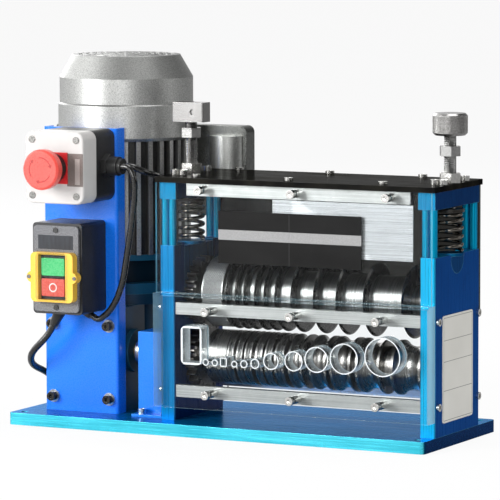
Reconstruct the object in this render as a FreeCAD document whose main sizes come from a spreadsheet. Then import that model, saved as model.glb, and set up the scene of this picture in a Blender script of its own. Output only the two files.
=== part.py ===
import FreeCAD, Part
import math
import os
import re

import Sketcher
from FreeCAD import Placement, Rotation, Vector

# Bench machine that slits the sheath of electric cable between two rollers.
# Frame: origin at the centre of the base plate's underside, +X along the rollers to the right,
# +Y to the back, +Z up. Millimetres.

SIZES = (
    # Base plate
    ("base_length", 460),
    ("base_width", 170),
    ("base_thickness", 12),
    ("base_corner", 5),
    ("mount_hole", 7),
    ("mount_inset", 12),
    # Roller frame
    ("frame_width", 299),
    ("block_setback", 25),
    ("block_thickness", 16),
    ("block_depth", 104),
    ("block_height", 174),
    ("block_edge", 1),
    ("notch_width", 30),
    ("notch_depth", 19.3),
    ("pillar_diameter", 7.6),
    ("pillar_spread", 8),
    ("pillar_inset", 5),
    ("pillar_height", 46),
    ("top_block_thickness", 18),
    ("top_block_height", 17),
    ("plate_thickness", 5.5),
    ("plate_side_overhang", 2.5),
    ("plate_front_overhang", 6),
    ("plate_rear_overhang", 3.5),
    ("plate_corner", 1.5),
    ("plate_screw_pitch", 101.6),
    ("plate_screw_shift", -11),
    ("adjuster_screw_spread", 9),
    ("adjuster_screw_reach", 26),
    # Crossbars between the side blocks
    ("bar_thickness", 8),
    ("bar_height", 12),
    ("bar_setback", 2),
    ("lower_bar_rise", 23.5),
    ("middle_bar_rise", 105.8),
    ("top_bar_end_gap", 10),
    ("top_bar_height", 13),
    ("top_bar_setback", 4),
    # Clear guards and their panels
    ("guard_thickness", 3),
    ("upper_guard_standoff", 3),
    ("guard_side_reach", 1.5),
    ("lower_guard_reach", 15),
    ("lower_guard_rise", 15),
    ("lower_guard_height", 113),
    ("rear_guard_height", 130),
    ("guard_screw_shift", -0.3),
    ("guide_screw_pitch", 92.5),
    ("guide_screw_shift", 2.5),
    ("label_width", 155),
    ("label_height", 51.5),
    ("label_rise", 160),
    ("label_start", 53),
    ("label_thickness", 1),
    ("info_width", 150.5),
    ("info_height", 54),
    ("info_start", 110.5),
    ("rating_width", 70.5),
    ("rating_height", 104),
    ("rating_rise", 12.5),
    ("rating_corner", 3),
    ("rating_thickness", 0.8),
    # Screws
    ("screw_diameter", 5),
    ("screw_head", 8.5),
    ("screw_head_height", 5),
    ("button_head", 9),
    ("button_head_height", 2.8),
    ("socket_width", 4),
    ("socket_depth", 2.5),
    ("spacer_diameter", 8),
    ("side_screw_head", 7.5),
    ("side_socket_depth", 1.5),
    ("screw_clearance", 0.1),
    # Rollers
    ("lower_axis_height", 60),
    ("axis_distance", 65),
    ("shaft_diameter", 20),
    ("running_clearance", 0.05),
    ("end_gap", 0.3),
    ("bearing_diameter", 32),
    ("bearing_width", 8),
    ("carriage_width", 60),
    ("carriage_reach", 25),
    ("carriage_top_gap", 2),
    ("lift_seat_gap", 0.3),
    ("wheel_radius", 27),
    ("blade_radius", 36),
    ("blade_thickness", 3),
    ("blade_bevel", 1),
    ("drum_radius", 34.5),
    ("drum_width", 23),
    ("flat_slot_position", 32.5),
    ("narrow_spacer_radius", 28),
    ("wide_spacer_radius", 24.5),
    ("wheel_spacer_radius", 20),
    ("end_collar_radius", 15),
    ("end_collar_width", 8),
    ("gear_module", 2.5),
    ("gear_teeth", 26),
    ("gear_width", 10),
    ("gear_start", 2),
    ("gear_backlash", 0.35),
    # Cable ports: place from the left block's inner face, and bore
    ("port_1", 48.5),
    ("port_2", 58.5),
    ("port_3", 68),
    ("port_4", 80),
    ("port_5", 90.5),
    ("port_6", 102.5),
    ("port_7", 120),
    ("port_8", 144.5),
    ("port_9", 169),
    ("port_10", 198.5),
    ("port_11", 239.5),
    ("bore_1", 4.8),
    ("bore_2", 4.8),
    ("bore_3", 5.5),
    ("bore_4", 4.6),
    ("bore_5", 5.8),
    ("bore_6", 7.8),
    ("bore_7", 14.6),
    ("bore_8", 17.6),
    ("bore_9", 23.2),
    ("bore_10", 28),
    ("bore_11", 35.8),
    ("feed_1", 7),
    ("feed_2", 7),
    ("feed_3", 8),
    ("feed_4", 8),
    ("feed_5", 8),
    ("feed_6", 10),
    ("feed_7", 15),
    ("feed_8", 18),
    ("feed_9", 22),
    ("feed_10", 26),
    ("feed_11", 32),
    ("tube_wall", 1),
    ("tube_length", 16),
    ("tube_reach", 11),
    ("port_floor", 60.5),
    ("flat_slot_width", 19),
    ("flat_slot_height", 34),
    ("flat_slot_wall", 2),
    ("flat_slot_corner", 5),
    ("small_slot_height", 7),
    ("small_slot_corner", 1.5),
    # Spring adjusters
    ("spring_diameter", 27),
    ("spring_wire", 3.8),
    ("spring_turns", 5),
    ("spring_end_pitch", 4.4),
    ("spring_length", 39.5),
    ("seat_diameter", 28),
    ("seat_thickness", 3),
    ("cap_recess", 1.5),
    ("rod_diameter", 12),
    ("rod_clearance", 0.5),
    ("nut_width", 19),
    ("nut_height", 9.6),
    ("jam_nut_rise", 26),
    ("left_jam_nut_rise", 35.5),
    ("knob_rise", 46),
    ("knob_diameter", 33.5),
    ("knob_height", 21.5),
    ("knob_chamfer", 2),
    ("handle_length", 36),
    ("handle_depth", 16),
    ("handle_height", 19.5),
    ("handle_rise", 51),
    ("handle_cap", 3),
    ("handle_screw_hole", 6),
    ("handle_screw_shift", 5.5),
    ("handle_screw_depth", 1.9),
    # Motor bracket
    ("bracket_reach", 47.7),
    ("bracket_setback", 38.2),
    ("bracket_width", 84.2),
    ("bracket_height", 287),
    ("bracket_thickness", 3),
    ("bracket_flange", 16),
    ("bracket_bend", 3),
    ("bracket_bolt_across", 64),
    ("bracket_bolt_up", 74),
    ("bracket_bolt_rise", 51.4),
    ("bracket_bolt", 6),
    ("bracket_bolt_head", 9),
    ("bracket_bolt_head_height", 6),
    ("washer_diameter", 13),
    ("washer_thickness", 1.4),
    # Gearbox
    ("gear_distance", 48),
    ("motor_cover_gap", 3.5),
    ("gearbox_height", 105.5),
    ("gearbox_depth", 58),
    ("gearbox_column_radius", 36),
    ("gearbox_cover_diameter", 44),
    ("gearbox_cover_thickness", 5),
    ("wheel_cavity_radius", 33),
    ("wheel_cavity_width", 32),
    ("worm_cavity_radius", 20.5),
    ("gearbox_floor", 10),
    ("worm_radius", 16.7),
    ("worm_length", 60),
    ("worm_wheel_radius", 31),
    ("worm_wheel_width", 18),
    ("worm_wheel_teeth", 31),
    ("worm_tooth_depth", 3),
    ("worm_end_gap", 2),
    ("coupling_radius", 18),
    ("coupling_length", 38),
    ("coupling_gap", 10),
    # Motor
    ("flange_diameter", 105),
    ("flange_thickness", 10.75),
    ("neck_diameter", 86),
    ("neck_height", 24),
    ("rim_diameter", 120),
    ("rim_height", 6),
    ("stator_height", 114.6),
    ("stator_core_diameter", 114),
    ("fin_diameter", 130),
    ("fin_count", 32),
    ("fin_thickness", 4.6),
    ("frame_bore", 100),
    ("bell_height", 37),
    ("bell_diameter", 139),
    ("bell_floor", 6),
    ("bell_bottom_edge", 3),
    ("bell_top_edge", 1.5),
    ("bell_screw_rise", 8.5),
    ("bell_boss_diameter", 9.6),
    ("bell_boss_height", 0.8),
    ("shell_thickness", 3),
    ("fin_root", 2),
    ("cowl_height", 51),
    ("cowl_diameter", 136),
    ("cowl_wall_height", 25.5),
    ("cowl_top_diameter", 110),
    ("cowl_dome", 3),
    ("grille_rings", 6),
    ("grille_slot", 4),
    ("grille_pitch", 7.6),
    ("grille_spokes", 12),
    ("grille_spoke_width", 3),
    ("grille_hub", 5),
    ("motor_shaft", 14),
    ("rotor_diameter", 62),
    ("rotor_height", 80),
    ("stack_bore", 64),
    ("stack_height", 74),
    ("fan_diameter", 116),
    ("fan_height", 18),
    ("fan_blades", 8),
    ("fan_hub_diameter", 30),
    ("fan_blade_start", 12),
    ("fan_sheet", 2.5),
    ("fan_gap", 3),
    ("capacitor_width", 60),
    ("capacitor_depth", 18),
    ("capacitor_height", 92),
    ("capacitor_rise", 193),
    ("capacitor_start", 66),
    ("capacitor_front", 22),
    ("capacitor_corner", 7),
    ("capacitor_bulge", 20),
    ("capacitor_bulge_reach", 13.2),
    ("capacitor_bulge_shift", 37),
    ("capacitor_bulge_margin", 10),
    ("motor_lead_inset", 10.5),
    ("motor_lead_rise", 34),
    ("entry_length", 6),
    # Coupling cover
    ("cover_length", 36),
    ("cover_width", 64),
    ("cover_height", 84),
    ("cover_wall", 2.5),
    ("cover_foot", 15),
    ("cover_screw_inset", 8),
    # Emergency stop box
    ("estop_width", 66),
    ("estop_height", 71.5),
    ("estop_rise", 215.5),
    ("estop_shift", 6.6),
    ("estop_base_depth", 37),
    ("estop_cover_depth", 26.2),
    ("estop_wall", 3),
    ("estop_corner", 9),
    ("estop_screw_inset", 8),
    ("estop_screw_head", 7),
    ("estop_cover_fillet", 2),
    ("estop_hole_gap", 2),
    ("legend_size", 31),
    ("legend_thickness", 1.5),
    ("collar_diameter", 29),
    ("collar_length", 17),
    ("mushroom_diameter", 40),
    ("mushroom_length", 13),
    ("mushroom_face_diameter", 36),
    ("mushroom_reach", 28),
    ("mushroom_cup_diameter", 32),
    ("mushroom_cup_depth", 9),
    ("mushroom_edge", 2),
    ("plunger_diameter", 10),
    ("plunger_length", 58),
    ("gland_diameter", 21),
    ("gland_length", 20),
    ("gland_nut_length", 6),
    ("gland_step", 4),
    ("plug_length", 22),
    ("plug_taper", 5.5),
    ("plug_tip_diameter", 12.6),
    # Main switch
    ("switch_width", 56),
    ("switch_height", 91),
    ("switch_depth", 48.2),
    ("switch_rise", 104),
    ("switch_shift", 0.85),
    ("switch_wall", 3),
    ("switch_corner", 4),
    ("face_margin", 2.5),
    ("face_thickness", 3),
    ("bezel_width", 48),
    ("bezel_height", 49.5),
    ("bezel_depth", 9),
    ("bezel_rise", 13),
    ("bezel_opening_width", 31),
    ("bezel_opening_height", 45),
    ("bezel_corner", 5),
    ("bezel_lug", 5.5),
    ("face_screw_head", 5.5),
    ("face_screw_height", 1.2),
    ("face_screw_inset", 7),
    ("lug_screw_head", 4),
    ("lug_screw_height", 0.8),
    ("lug_screw_inset", 3.6),
    ("module_depth", 26),
    ("module_gap", 0.2),
    ("button_width", 26),
    ("button_height", 17.5),
    ("button_length", 13.5),
    ("button_sink", 2.5),
    ("button_travel", 3),
    ("button_gap", 0.3),
    ("button_corner", 1.5),
    ("button_spread", 20.5),
    ("module_proud", 3),
    ("window_thickness", 1.5),
    ("window_margin", 2),
    # Leads
    ("lead_diameter", 6.4),
    ("control_entry_shift", 15.7),
    ("control_entry_inset", 18),
    ("control_entry_lean", 60),
    ("control_entry_root", 10),
    ("control_entry_diameter", 10.4),
    ("control_entry_tip", 8.8),
    ("mains_diameter", 7),
    ("entry_diameter", 11.4),
    ("relief_diameter", 14),
    ("relief_tip", 8.5),
    ("relief_length", 16),
    ("relief_root", 5),
    ("relief_lean", 29),
    ("relief_shift", -10),
    ("relief_inset", 26.5),
    ("floor_gap", 0.1),
    ("coil_x", -163),
    ("coil_y", 147),
    ("coil_radius", 50),
    ("coil_pitch", 7.6),
    ("coil_inward_turns", 3),
    ("coil_end", 27),
    ("plug_body_diameter", 34),
    ("plug_body_length", 36),
    ("plug_neck_length", 16),
    ("plug_pin_diameter", 4.8),
    ("plug_pin_length", 19),
    ("plug_pin_spread", 19),
    ("plug_pin_root", 2),
    ("plug_neck_diameter", 22),
)

os.makedirs("parts", exist_ok=True)
doc = FreeCAD.newDocument("wire_stripping_machine")
sheet = doc.addObject("Spreadsheet::Sheet", "Sizes")
for row, (alias, value) in enumerate(SIZES, start=1):
    sheet.set("A%d" % row, alias)
    sheet.set("B%d" % row, str(value))
    sheet.setAlias("B%d" % row, alias)
doc.recompute()

NAMES = {alias for alias, value in SIZES}
WORD = re.compile(r"[a-z][a-z0-9_]*")
AXES = {
    "x": Rotation(Vector(0, 1, 0), 90),
    "y": Rotation(Vector(1, 0, 0), -90),
    "z": Rotation(),
}
PORTS = 11
NARROW_PORTS = 7
SLOT_PORT = 3
BELL_SCREW_ANGLES = (-75, 5, 105, 195)

# Places that several pieces share, as expressions of the sheet's sizes.
FRAME_RIGHT = "base_length / 2"
FRAME_LEFT = "base_length / 2 - frame_width"
FRAME_CENTRE = "(base_length - frame_width) / 2"
RIGHT_INNER = "base_length / 2 - block_thickness"
LEFT_INNER = "base_length / 2 - frame_width + block_thickness"
RIGHT_MIDDLE = "base_length / 2 - block_thickness / 2"
LEFT_MIDDLE = "base_length / 2 - frame_width + block_thickness / 2"
BLOCK_FRONT = "block_setback - base_width / 2"
BLOCK_REAR = "block_setback - base_width / 2 + block_depth"
ROLLER_Y = "block_setback - base_width / 2 + block_depth / 2"
BLOCK_TOP = "base_thickness + block_height"
LOWER_Z = "base_thickness + lower_axis_height"
UPPER_Z = "base_thickness + lower_axis_height + axis_distance"
TOP_BLOCK_Z = "base_thickness + block_height + pillar_height"
PLATE_Z = f"{TOP_BLOCK_Z} + top_block_height"
PLATE_TOP = f"{PLATE_Z} + plate_thickness"
UPPER_GUARD_BACK = f"{BLOCK_FRONT} - upper_guard_standoff"
UPPER_GUARD_FRONT = f"{UPPER_GUARD_BACK} - guard_thickness"
LOWER_GUARD_FRONT = f"{BLOCK_FRONT} - lower_guard_reach"
LOWER_GUARD_TOP = "base_thickness + lower_guard_rise + lower_guard_height"
LOWER_BAR_Z = "base_thickness + lower_bar_rise"
MIDDLE_BAR_Z = "base_thickness + middle_bar_rise"
TOP_BAR_Z = f"{PLATE_Z} - top_bar_height"
FRONT_BAR_Y = f"{BLOCK_FRONT} + bar_setback"
TOP_BAR_Y = f"{BLOCK_FRONT} + top_bar_setback"
REAR_BAR_Y = f"{BLOCK_REAR} - bar_thickness"
GEAR_X = f"{LEFT_INNER} + gear_start"
SEAT_TOP = f"{BLOCK_TOP} - carriage_top_gap + seat_thickness"
CAP_BOTTOM = f"{SEAT_TOP} + spring_length"
COVER_X = f"{FRAME_LEFT} - cover_length"
MOTOR_X = f"{COVER_X} - motor_cover_gap - flange_diameter / 2"
BRACKET_LEFT = f"{MOTOR_X} - bracket_reach"
BRACKET_CENTRE = f"{BRACKET_LEFT} + bracket_width / 2"
BRACKET_FRONT = "bracket_setback - base_width / 2"
BRACKET_BACK = f"{BRACKET_FRONT} + bracket_thickness"
SWITCH_CENTRE = f"{BRACKET_CENTRE} + switch_shift"
MOTOR_Y = f"{ROLLER_Y} + gear_distance"
FLANGE_Z = "base_thickness + gearbox_height"
NECK_Z = f"{FLANGE_Z} + 2 * flange_thickness"
STATOR_Z = f"{NECK_Z} + neck_height + rim_height"
BELL_Z = f"{STATOR_Z} + stator_height"
COWL_Z = f"{BELL_Z} + bell_height"
COWL_TOP = f"{COWL_Z} + cowl_height"
COUPLING_X = f"{FRAME_LEFT} - coupling_gap - coupling_length"
COVER_FRONT = f"{ROLLER_Y} - cover_width / 2"
COVER_SCREW_X = f"{COVER_X} + cover_screw_inset"
COVER_SCREW_Y = f"{COVER_FRONT} - cover_foot / 2"
ESTOP_CENTRE = f"{BRACKET_CENTRE} + estop_shift"
ESTOP_Z = "base_thickness + estop_rise + estop_height / 2"
ESTOP_SEAM = f"{BRACKET_FRONT} - estop_base_depth"
ESTOP_FACE = f"{ESTOP_SEAM} - estop_cover_depth"
SWITCH_Z = "base_thickness + switch_rise"
SWITCH_FRONT = f"{BRACKET_FRONT} - switch_depth"
FACE_FRONT = f"{SWITCH_FRONT} - face_thickness"
BEZEL_Z = f"{SWITCH_Z} + bezel_rise"
BEZEL_FRONT = f"{FACE_FRONT} - bezel_depth"
BUTTON_Z = f"{BEZEL_Z} + bezel_height / 2"
CAPACITOR_X = f"{MOTOR_X} + capacitor_start"
CAPACITOR_Y = f"{MOTOR_Y} + capacitor_front"
CAPACITOR_Z = "base_thickness + capacitor_rise"


def screw_columns(pitch, shift):
    return [f"{FRAME_CENTRE} + {shift} + {side} * {pitch}" for side in (-1, 0, 1)]


def port_x(number):
    return f"{LEFT_INNER} + port_{number}"


def port_z(number):
    return f"base_thickness + port_floor + tube_wall + bore_{number} / 2"


TOP_COLUMNS = screw_columns("plate_screw_pitch", "guard_screw_shift")
GUIDE_COLUMNS = screw_columns("guide_screw_pitch", "guide_screw_shift")
TOP_SCREW_Z = f"{TOP_BAR_Z} + top_bar_height / 2"
MIDDLE_SCREW_Z = f"{MIDDLE_BAR_Z} + bar_height / 2"
LOWER_SCREW_Z = f"{LOWER_BAR_Z} + bar_height / 2"
SCREW_HOLE = "screw_diameter + 2 * screw_clearance"
FLAT_SLOT_X = f"{LEFT_INNER} + flat_slot_position"
GLAND_END = f"{ESTOP_CENTRE} + estop_width / 2 + gland_length"
GLAND_Y = f"{BRACKET_FRONT} - estop_base_depth / 2"
RELIEF_FACE = (f"{SWITCH_CENTRE} + relief_shift", f"{BRACKET_FRONT} - relief_inset", SWITCH_Z)
CONTROL_FACE = (f"{SWITCH_CENTRE} + control_entry_shift", f"{BRACKET_FRONT} - control_entry_inset", SWITCH_Z)
MOTOR_ENTRY = (
    f"{CAPACITOR_X} + motor_lead_inset",
    f"{CAPACITOR_Y} - entry_length",
    f"{CAPACITOR_Z} + motor_lead_rise",
)


def formula(text):
    """An expression of the sheet's aliases, as a document object reads it."""
    return WORD.sub(lambda word: ("Sizes." if word[0] in NAMES else "") + word[0], str(text))


def size(text):
    """The value of an expression of the sheet's aliases."""
    return float(sheet.evalExpression(str(text)))


def set_place(piece, x, y, z):
    for axis, text in zip("xyz", (x, y, z)):
        piece.setExpression("Placement.Base." + axis, formula(text))
    return piece


def box(x, y, z, length, width, height):
    """A block whose lowest corner is at x, y, z."""
    piece = doc.addObject("Part::Box", "block")
    piece.setExpression("Length", formula(length))
    piece.setExpression("Width", formula(width))
    piece.setExpression("Height", formula(height))
    return set_place(piece, x, y, z)


def rod(axis, x, y, z, diameter, length):
    """A cylinder that starts at x, y, z and runs along +axis."""
    piece = doc.addObject("Part::Cylinder", "rod")
    piece.Placement = Placement(Vector(), AXES[axis])
    piece.setExpression("Radius", formula(f"({diameter}) / 2"))
    piece.setExpression("Height", formula(length))
    return set_place(piece, x, y, z)


def cone(axis, x, y, z, first, second, length):
    """A cone between two diameters that starts at x, y, z and runs along +axis."""
    piece = doc.addObject("Part::Cone", "cone")
    piece.Placement = Placement(Vector(), AXES[axis])
    piece.setExpression("Radius1", formula(f"({first}) / 2"))
    piece.setExpression("Radius2", formula(f"({second}) / 2"))
    piece.setExpression("Height", formula(length))
    return set_place(piece, x, y, z)


def hexagon(axis, x, y, z, width, length):
    """A hexagonal prism of a width across its flats."""
    piece = doc.addObject("Part::Prism", "hexagon")
    piece.Polygon = 6
    piece.Placement = Placement(Vector(), AXES[axis])
    piece.setExpression("Circumradius", formula(f"({width}) / sqrt(3)"))
    piece.setExpression("Height", formula(length))
    return set_place(piece, x, y, z)


def fuse(*pieces):
    piece = doc.addObject("Part::MultiFuse", "union")
    piece.Shapes = list(pieces)
    return piece


def cut(base, *tools):
    piece = doc.addObject("Part::Cut", "cut")
    piece.Base = base
    piece.Tool = tools[0] if len(tools) == 1 else fuse(*tools)
    return piece


def common(first, second):
    piece = doc.addObject("Part::Common", "common")
    piece.Base = first
    piece.Tool = second
    return piece


def group(*pieces):
    """Separate solids that make one sub-part."""
    piece = doc.addObject("Part::Compound", "group")
    piece.Links = list(pieces)
    return piece


def feature(shape):
    piece = doc.addObject("Part::Feature", "shape")
    piece.Shape = shape
    return piece


class Solid:
    """A PartDesign body with sketches drawn in its own frame."""

    def __init__(self, x, y, z):
        self.body = doc.addObject("PartDesign::Body", "solid")
        set_place(self.body, x, y, z)
        self.planes = {part.Role: part for part in self.body.Origin.OriginFeatures}

    def sketch(self, plane, offset="0"):
        sketch = self.body.newObject("Sketcher::SketchObject", "outline")
        sketch.AttachmentSupport = [(self.planes[plane + "_Plane"], "")]
        sketch.MapMode = "FlatFace"
        sketch.setExpression("AttachmentOffset.Base.z", formula(offset))
        return sketch

    def bind(self, sketch, kind, places, text):
        index = sketch.addConstraint(Sketcher.Constraint(kind, *places, size(text)))
        sketch.setExpression("Constraints[%d]" % index, formula(text))

    def polygon(self, plane, points, offset="0"):
        sketch = self.sketch(plane, offset)
        corners = [Vector(size(u), size(v), 0) for u, v in points]
        count = len(corners)
        for index, corner in enumerate(corners):
            sketch.addGeometry(Part.LineSegment(corner, corners[(index + 1) % count]), False)
        for index in range(count):
            sketch.addConstraint(Sketcher.Constraint("Coincident", index, 2, (index + 1) % count, 1))
        for index, (u, v) in enumerate(points):
            self.bind(sketch, "DistanceX", (-1, 1, index, 1), u)
            self.bind(sketch, "DistanceY", (-1, 1, index, 1), v)
        return sketch

    def rectangle(self, plane, u, v, width, height, offset="0"):
        right = f"{u} + {width}"
        top = f"{v} + {height}"
        return self.polygon(plane, ((u, v), (right, v), (right, top), (u, top)), offset)

    def circles(self, plane, centres, diameter, offset="0"):
        sketch = self.sketch(plane, offset)
        for index, (u, v) in enumerate(centres):
            centre = Vector(size(u), size(v), 0)
            sketch.addGeometry(Part.Circle(centre, Vector(0, 0, 1), size(diameter) / 2), False)
            self.bind(sketch, "Diameter", (index,), diameter)
            self.bind(sketch, "DistanceX", (-1, 1, index, 3), u)
            self.bind(sketch, "DistanceY", (-1, 1, index, 3), v)
        return sketch

    def pad(self, sketch, length, reverse=False):
        pad = self.body.newObject("PartDesign::Pad", "pad")
        pad.Profile = sketch
        pad.Reversed = reverse
        pad.setExpression("Length", formula(length))
        return self

    def pocket(self, sketch, depth=None, reverse=False):
        """Cuts to a depth, against the sketch's normal, or right through both ways."""
        pocket = self.body.newObject("PartDesign::Pocket", "pocket")
        pocket.Profile = sketch
        if depth is None:
            pocket.Type = "ThroughAll"
            pocket.SideType = "Symmetric"
        else:
            pocket.Reversed = reverse
            pocket.setExpression("Length", formula(depth))
        return self

    def revolve(self, sketch):
        """Turns a sketch on the XZ plane about the body's Z axis."""
        turn = self.body.newObject("PartDesign::Revolution", "turn")
        turn.Profile = sketch
        turn.ReferenceAxis = (sketch, ["V_Axis"])
        turn.Angle = 360
        return self

    def soften(self, kind, length, chosen):
        """Rounds or chamfers the edges that chosen(edge) picks."""
        doc.recompute()
        tip = self.body.Tip
        names = [f"Edge{i}" for i, edge in enumerate(tip.Shape.Edges, start=1) if chosen(edge)]
        soft = self.body.newObject("PartDesign::" + kind, kind.lower())
        soft.Base = (tip, names)
        soft.setExpression("Radius" if kind == "Fillet" else "Size", formula(length))
        return self

    def round(self, radius, chosen):
        return self.soften("Fillet", radius, chosen)

    def chamfer(self, length, chosen):
        return self.soften("Chamfer", length, chosen)


def along(axis):
    """Picks the straight edges that run along an axis."""
    step = {"x": Vector(1, 0, 0), "y": Vector(0, 1, 0), "z": Vector(0, 0, 1)}[axis]

    def chosen(edge):
        straight = isinstance(edge.Curve, Part.Line)
        return straight and abs(edge.tangentAt(edge.FirstParameter).dot(step)) > 0.99

    return chosen


def at_level(axis, level):
    """Picks the edges that lie in a plane square to an axis."""
    index = "xyz".index(axis)

    def chosen(edge):
        low = (edge.BoundBox.XMin, edge.BoundBox.YMin, edge.BoundBox.ZMin)[index]
        high = (edge.BoundBox.XMax, edge.BoundBox.YMax, edge.BoundBox.ZMax)[index]
        return abs(low - size(level)) < 0.01 and abs(high - size(level)) < 0.01

    return chosen


SUBPARTS = []


def keep(label, piece):
    piece.Label = label
    SUBPARTS.append(piece)
    return piece


def cap_screw(axis, x, y, z, length, head="screw_head", height="screw_head_height", bore="screw_diameter"):
    """A socket-head screw along Z or X whose head starts at the given place.

    Along z the head stands above the place and the shank runs down. Along y the head
    stands in front of the place and the shank runs to the back. Along x the head stands
    to the right and the shank runs to the left.
    """
    if axis == "z":
        top = rod("z", x, y, z, head, height)
        shank = rod("z", x, y, f"{z} - ({length})", bore, length)
        socket = hexagon("z", x, y, f"{z} + {height} - socket_depth", "socket_width", "socket_depth")
    elif axis == "y":
        top = rod("y", x, f"{y} - {height}", z, head, height)
        shank = rod("y", x, y, z, bore, length)
        socket = hexagon("y", x, f"{y} - {height}", z, "socket_width", "socket_depth")
    else:
        top = rod("x", x, y, z, head, height)
        shank = rod("x", f"{x} - ({length})", y, z, bore, length)
        socket = hexagon("x", f"{x} + {height} - socket_depth", y, z, "socket_width", "socket_depth")
    return cut(fuse(top, shank), socket)


def arc_through(start, heading, end):
    """The arc from start to end that leaves start along heading."""
    chord = end - start
    along_chord = Vector(chord).normalize()
    side = heading - along_chord * heading.dot(along_chord)
    if side.Length < 1e-6:
        return Part.LineSegment(start, end)
    half_turn = heading.getAngle(chord)
    middle = (start + end) / 2 + side.normalize() * (chord.Length / 2 * math.tan(half_turn / 2))
    return Part.Arc(start, middle, end)


def biarc(start, heading, end, final):
    """Two arcs that join two points with given headings."""
    reach = end - start
    both = heading + final
    spread = 2 * (1 - heading.dot(final))
    across = reach.dot(both)
    if spread < 1e-9:
        step = reach.dot(reach) / (4 * reach.dot(final))
    else:
        step = (math.sqrt(across * across + spread * reach.dot(reach)) - across) / spread
    middle = (start + heading * step + end - final * step) / 2
    first = arc_through(start, heading, middle)
    second = arc_through(end, final * -1, middle)
    return [first.toShape(), second.toShape()]


def sweep(edges, diameter):
    """A round tube along joined edges."""
    path = Part.Wire(edges)
    start = path.Edges[0]
    heading = start.tangentAt(start.FirstParameter)
    circle = Part.Circle(start.valueAt(start.FirstParameter), heading, diameter / 2)
    return path.makePipeShell([Part.Wire(circle.toShape())], True, False)


def lead(name, points, diameter):
    """A tube along straight runs joined by tangent arcs."""
    points = [Vector(*point) for point in points]
    edges = []
    radii = []
    last = points[0]
    for before, corner, after in zip(points, points[1:], points[2:]):
        inward = (corner - before)
        outward = (after - corner)
        shorter = min(inward.Length, outward.Length)
        turn = inward.getAngle(outward)
        inward.normalize()
        outward.normalize()
        tangent = 0.45 * shorter
        radii.append(tangent / math.tan(turn / 2))
        start = corner - inward * tangent
        end = corner + outward * tangent
        edges.append(Part.LineSegment(last, start).toShape())
        edges.append(arc_through(start, inward, end).toShape())
        last = end
    edges.append(Part.LineSegment(last, points[-1]).toShape())
    tube = sweep(edges, diameter)
    length = sum(edge.Length for edge in edges)
    expected = length * math.pi * diameter * diameter / 4
    print(name, "length", round(length, 1), "radii", [round(radius, 1) for radius in radii],
          "volume ratio", round(tube.Volume / expected, 4))
    return tube


def least_gap(points, diameter, skip):
    """The least space between stretches of a tube that are not neighbours."""
    least = float("inf")
    for index, point in enumerate(points):
        for other in points[index + skip:]:
            least = min(least, point.distanceToPoint(other))
    return least - diameter


def make_base():
    plate = Solid("-base_length / 2", "-base_width / 2", "0")
    plate.pad(plate.rectangle("XY", "0", "0", "base_length", "base_width"), "base_thickness")
    columns = ("mount_inset", "base_length - mount_inset")
    rows = ("mount_inset", "base_width - mount_inset")
    centres = [(u, v) for u in columns for v in rows]
    plate.pocket(plate.circles("XY", centres, "mount_hole"))
    keep("base_plate", plate.round("base_corner", along("z")).body)


def make_side_block(label, inner_face, face_offset, reverse, through):
    """A side block with a slot for the bearing carriage and a seat for the lower bearing."""
    block = Solid(inner_face, BLOCK_FRONT, "base_thickness")
    block.pad(block.rectangle("YZ", "0", "0", "block_depth", "block_height"), "block_thickness")
    block.chamfer("block_edge", along("z"))
    arc_height = "block_height - notch_depth + notch_width / 2"
    notch = block.rectangle("YZ", "(block_depth - notch_width) / 2", arc_height, "notch_width",
                            "notch_depth")
    block.pocket(notch)
    block.pocket(block.circles("YZ", (("block_depth / 2", arc_height),), "notch_width"))
    floor = "lower_axis_height + axis_distance - carriage_reach - lift_seat_gap"
    slot_width = "carriage_width + 2 * running_clearance"
    slot = block.rectangle("YZ", f"(block_depth - ({slot_width})) / 2", floor, slot_width,
                           f"block_height - ({floor}) + 1", face_offset)
    block.pocket(slot, "block_thickness / 2", reverse)
    axis = (("block_depth / 2", "lower_axis_height"),)
    seat = "bearing_diameter + 2 * running_clearance"
    block.pocket(block.circles("YZ", axis, seat, face_offset), "bearing_width", reverse)
    if through:
        block.pocket(block.circles("YZ", axis, "shaft_diameter + 2"))
    keep(label, block.body)


def make_frame():
    make_side_block("side_block_left", FRAME_LEFT, "block_thickness", False, True)
    make_side_block("side_block_right", RIGHT_INNER, "0", True, False)
    pillars = []
    for middle in (LEFT_MIDDLE, RIGHT_MIDDLE):
        for y in (f"{BLOCK_FRONT} + pillar_inset", f"{BLOCK_REAR} - pillar_inset"):
            for side in (-1, 1):
                x = f"{middle} + {side} * pillar_spread / 2"
                pillars.append(rod("z", x, y, BLOCK_TOP, "pillar_diameter", "pillar_height"))
    keep("spacer_pillars", group(*pillars))
    blocks = []
    for x, middle in ((FRAME_LEFT, LEFT_MIDDLE), (f"{FRAME_RIGHT} - top_block_thickness", RIGHT_MIDDLE)):
        body = box(x, BLOCK_FRONT, TOP_BLOCK_Z, "top_block_thickness", "block_depth", "top_block_height")
        bore = rod("z", middle, ROLLER_Y, TOP_BLOCK_Z, "rod_diameter + 2 * running_clearance",
                   "top_block_height")
        blocks.append(cut(body, bore))
    keep("top_blocks", group(*blocks))


def plate_screw_places():
    """Button-head screws that hold the top bars under the plate."""
    rows = (f"{TOP_BAR_Y} + bar_thickness / 2", f"{REAR_BAR_Y} + bar_thickness / 2")
    return [(x, y) for x in screw_columns("plate_screw_pitch", "plate_screw_shift") for y in rows]


def adjuster_screw_places():
    """Cap screws that hold the plate to the top blocks, four round each adjuster."""
    return [
        (f"{middle} + {across} * adjuster_screw_spread / 2", f"{ROLLER_Y} + {back} * adjuster_screw_reach")
        for middle in (LEFT_MIDDLE, RIGHT_MIDDLE)
        for across in (-1, 1)
        for back in (-1, 1)
    ]


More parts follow.
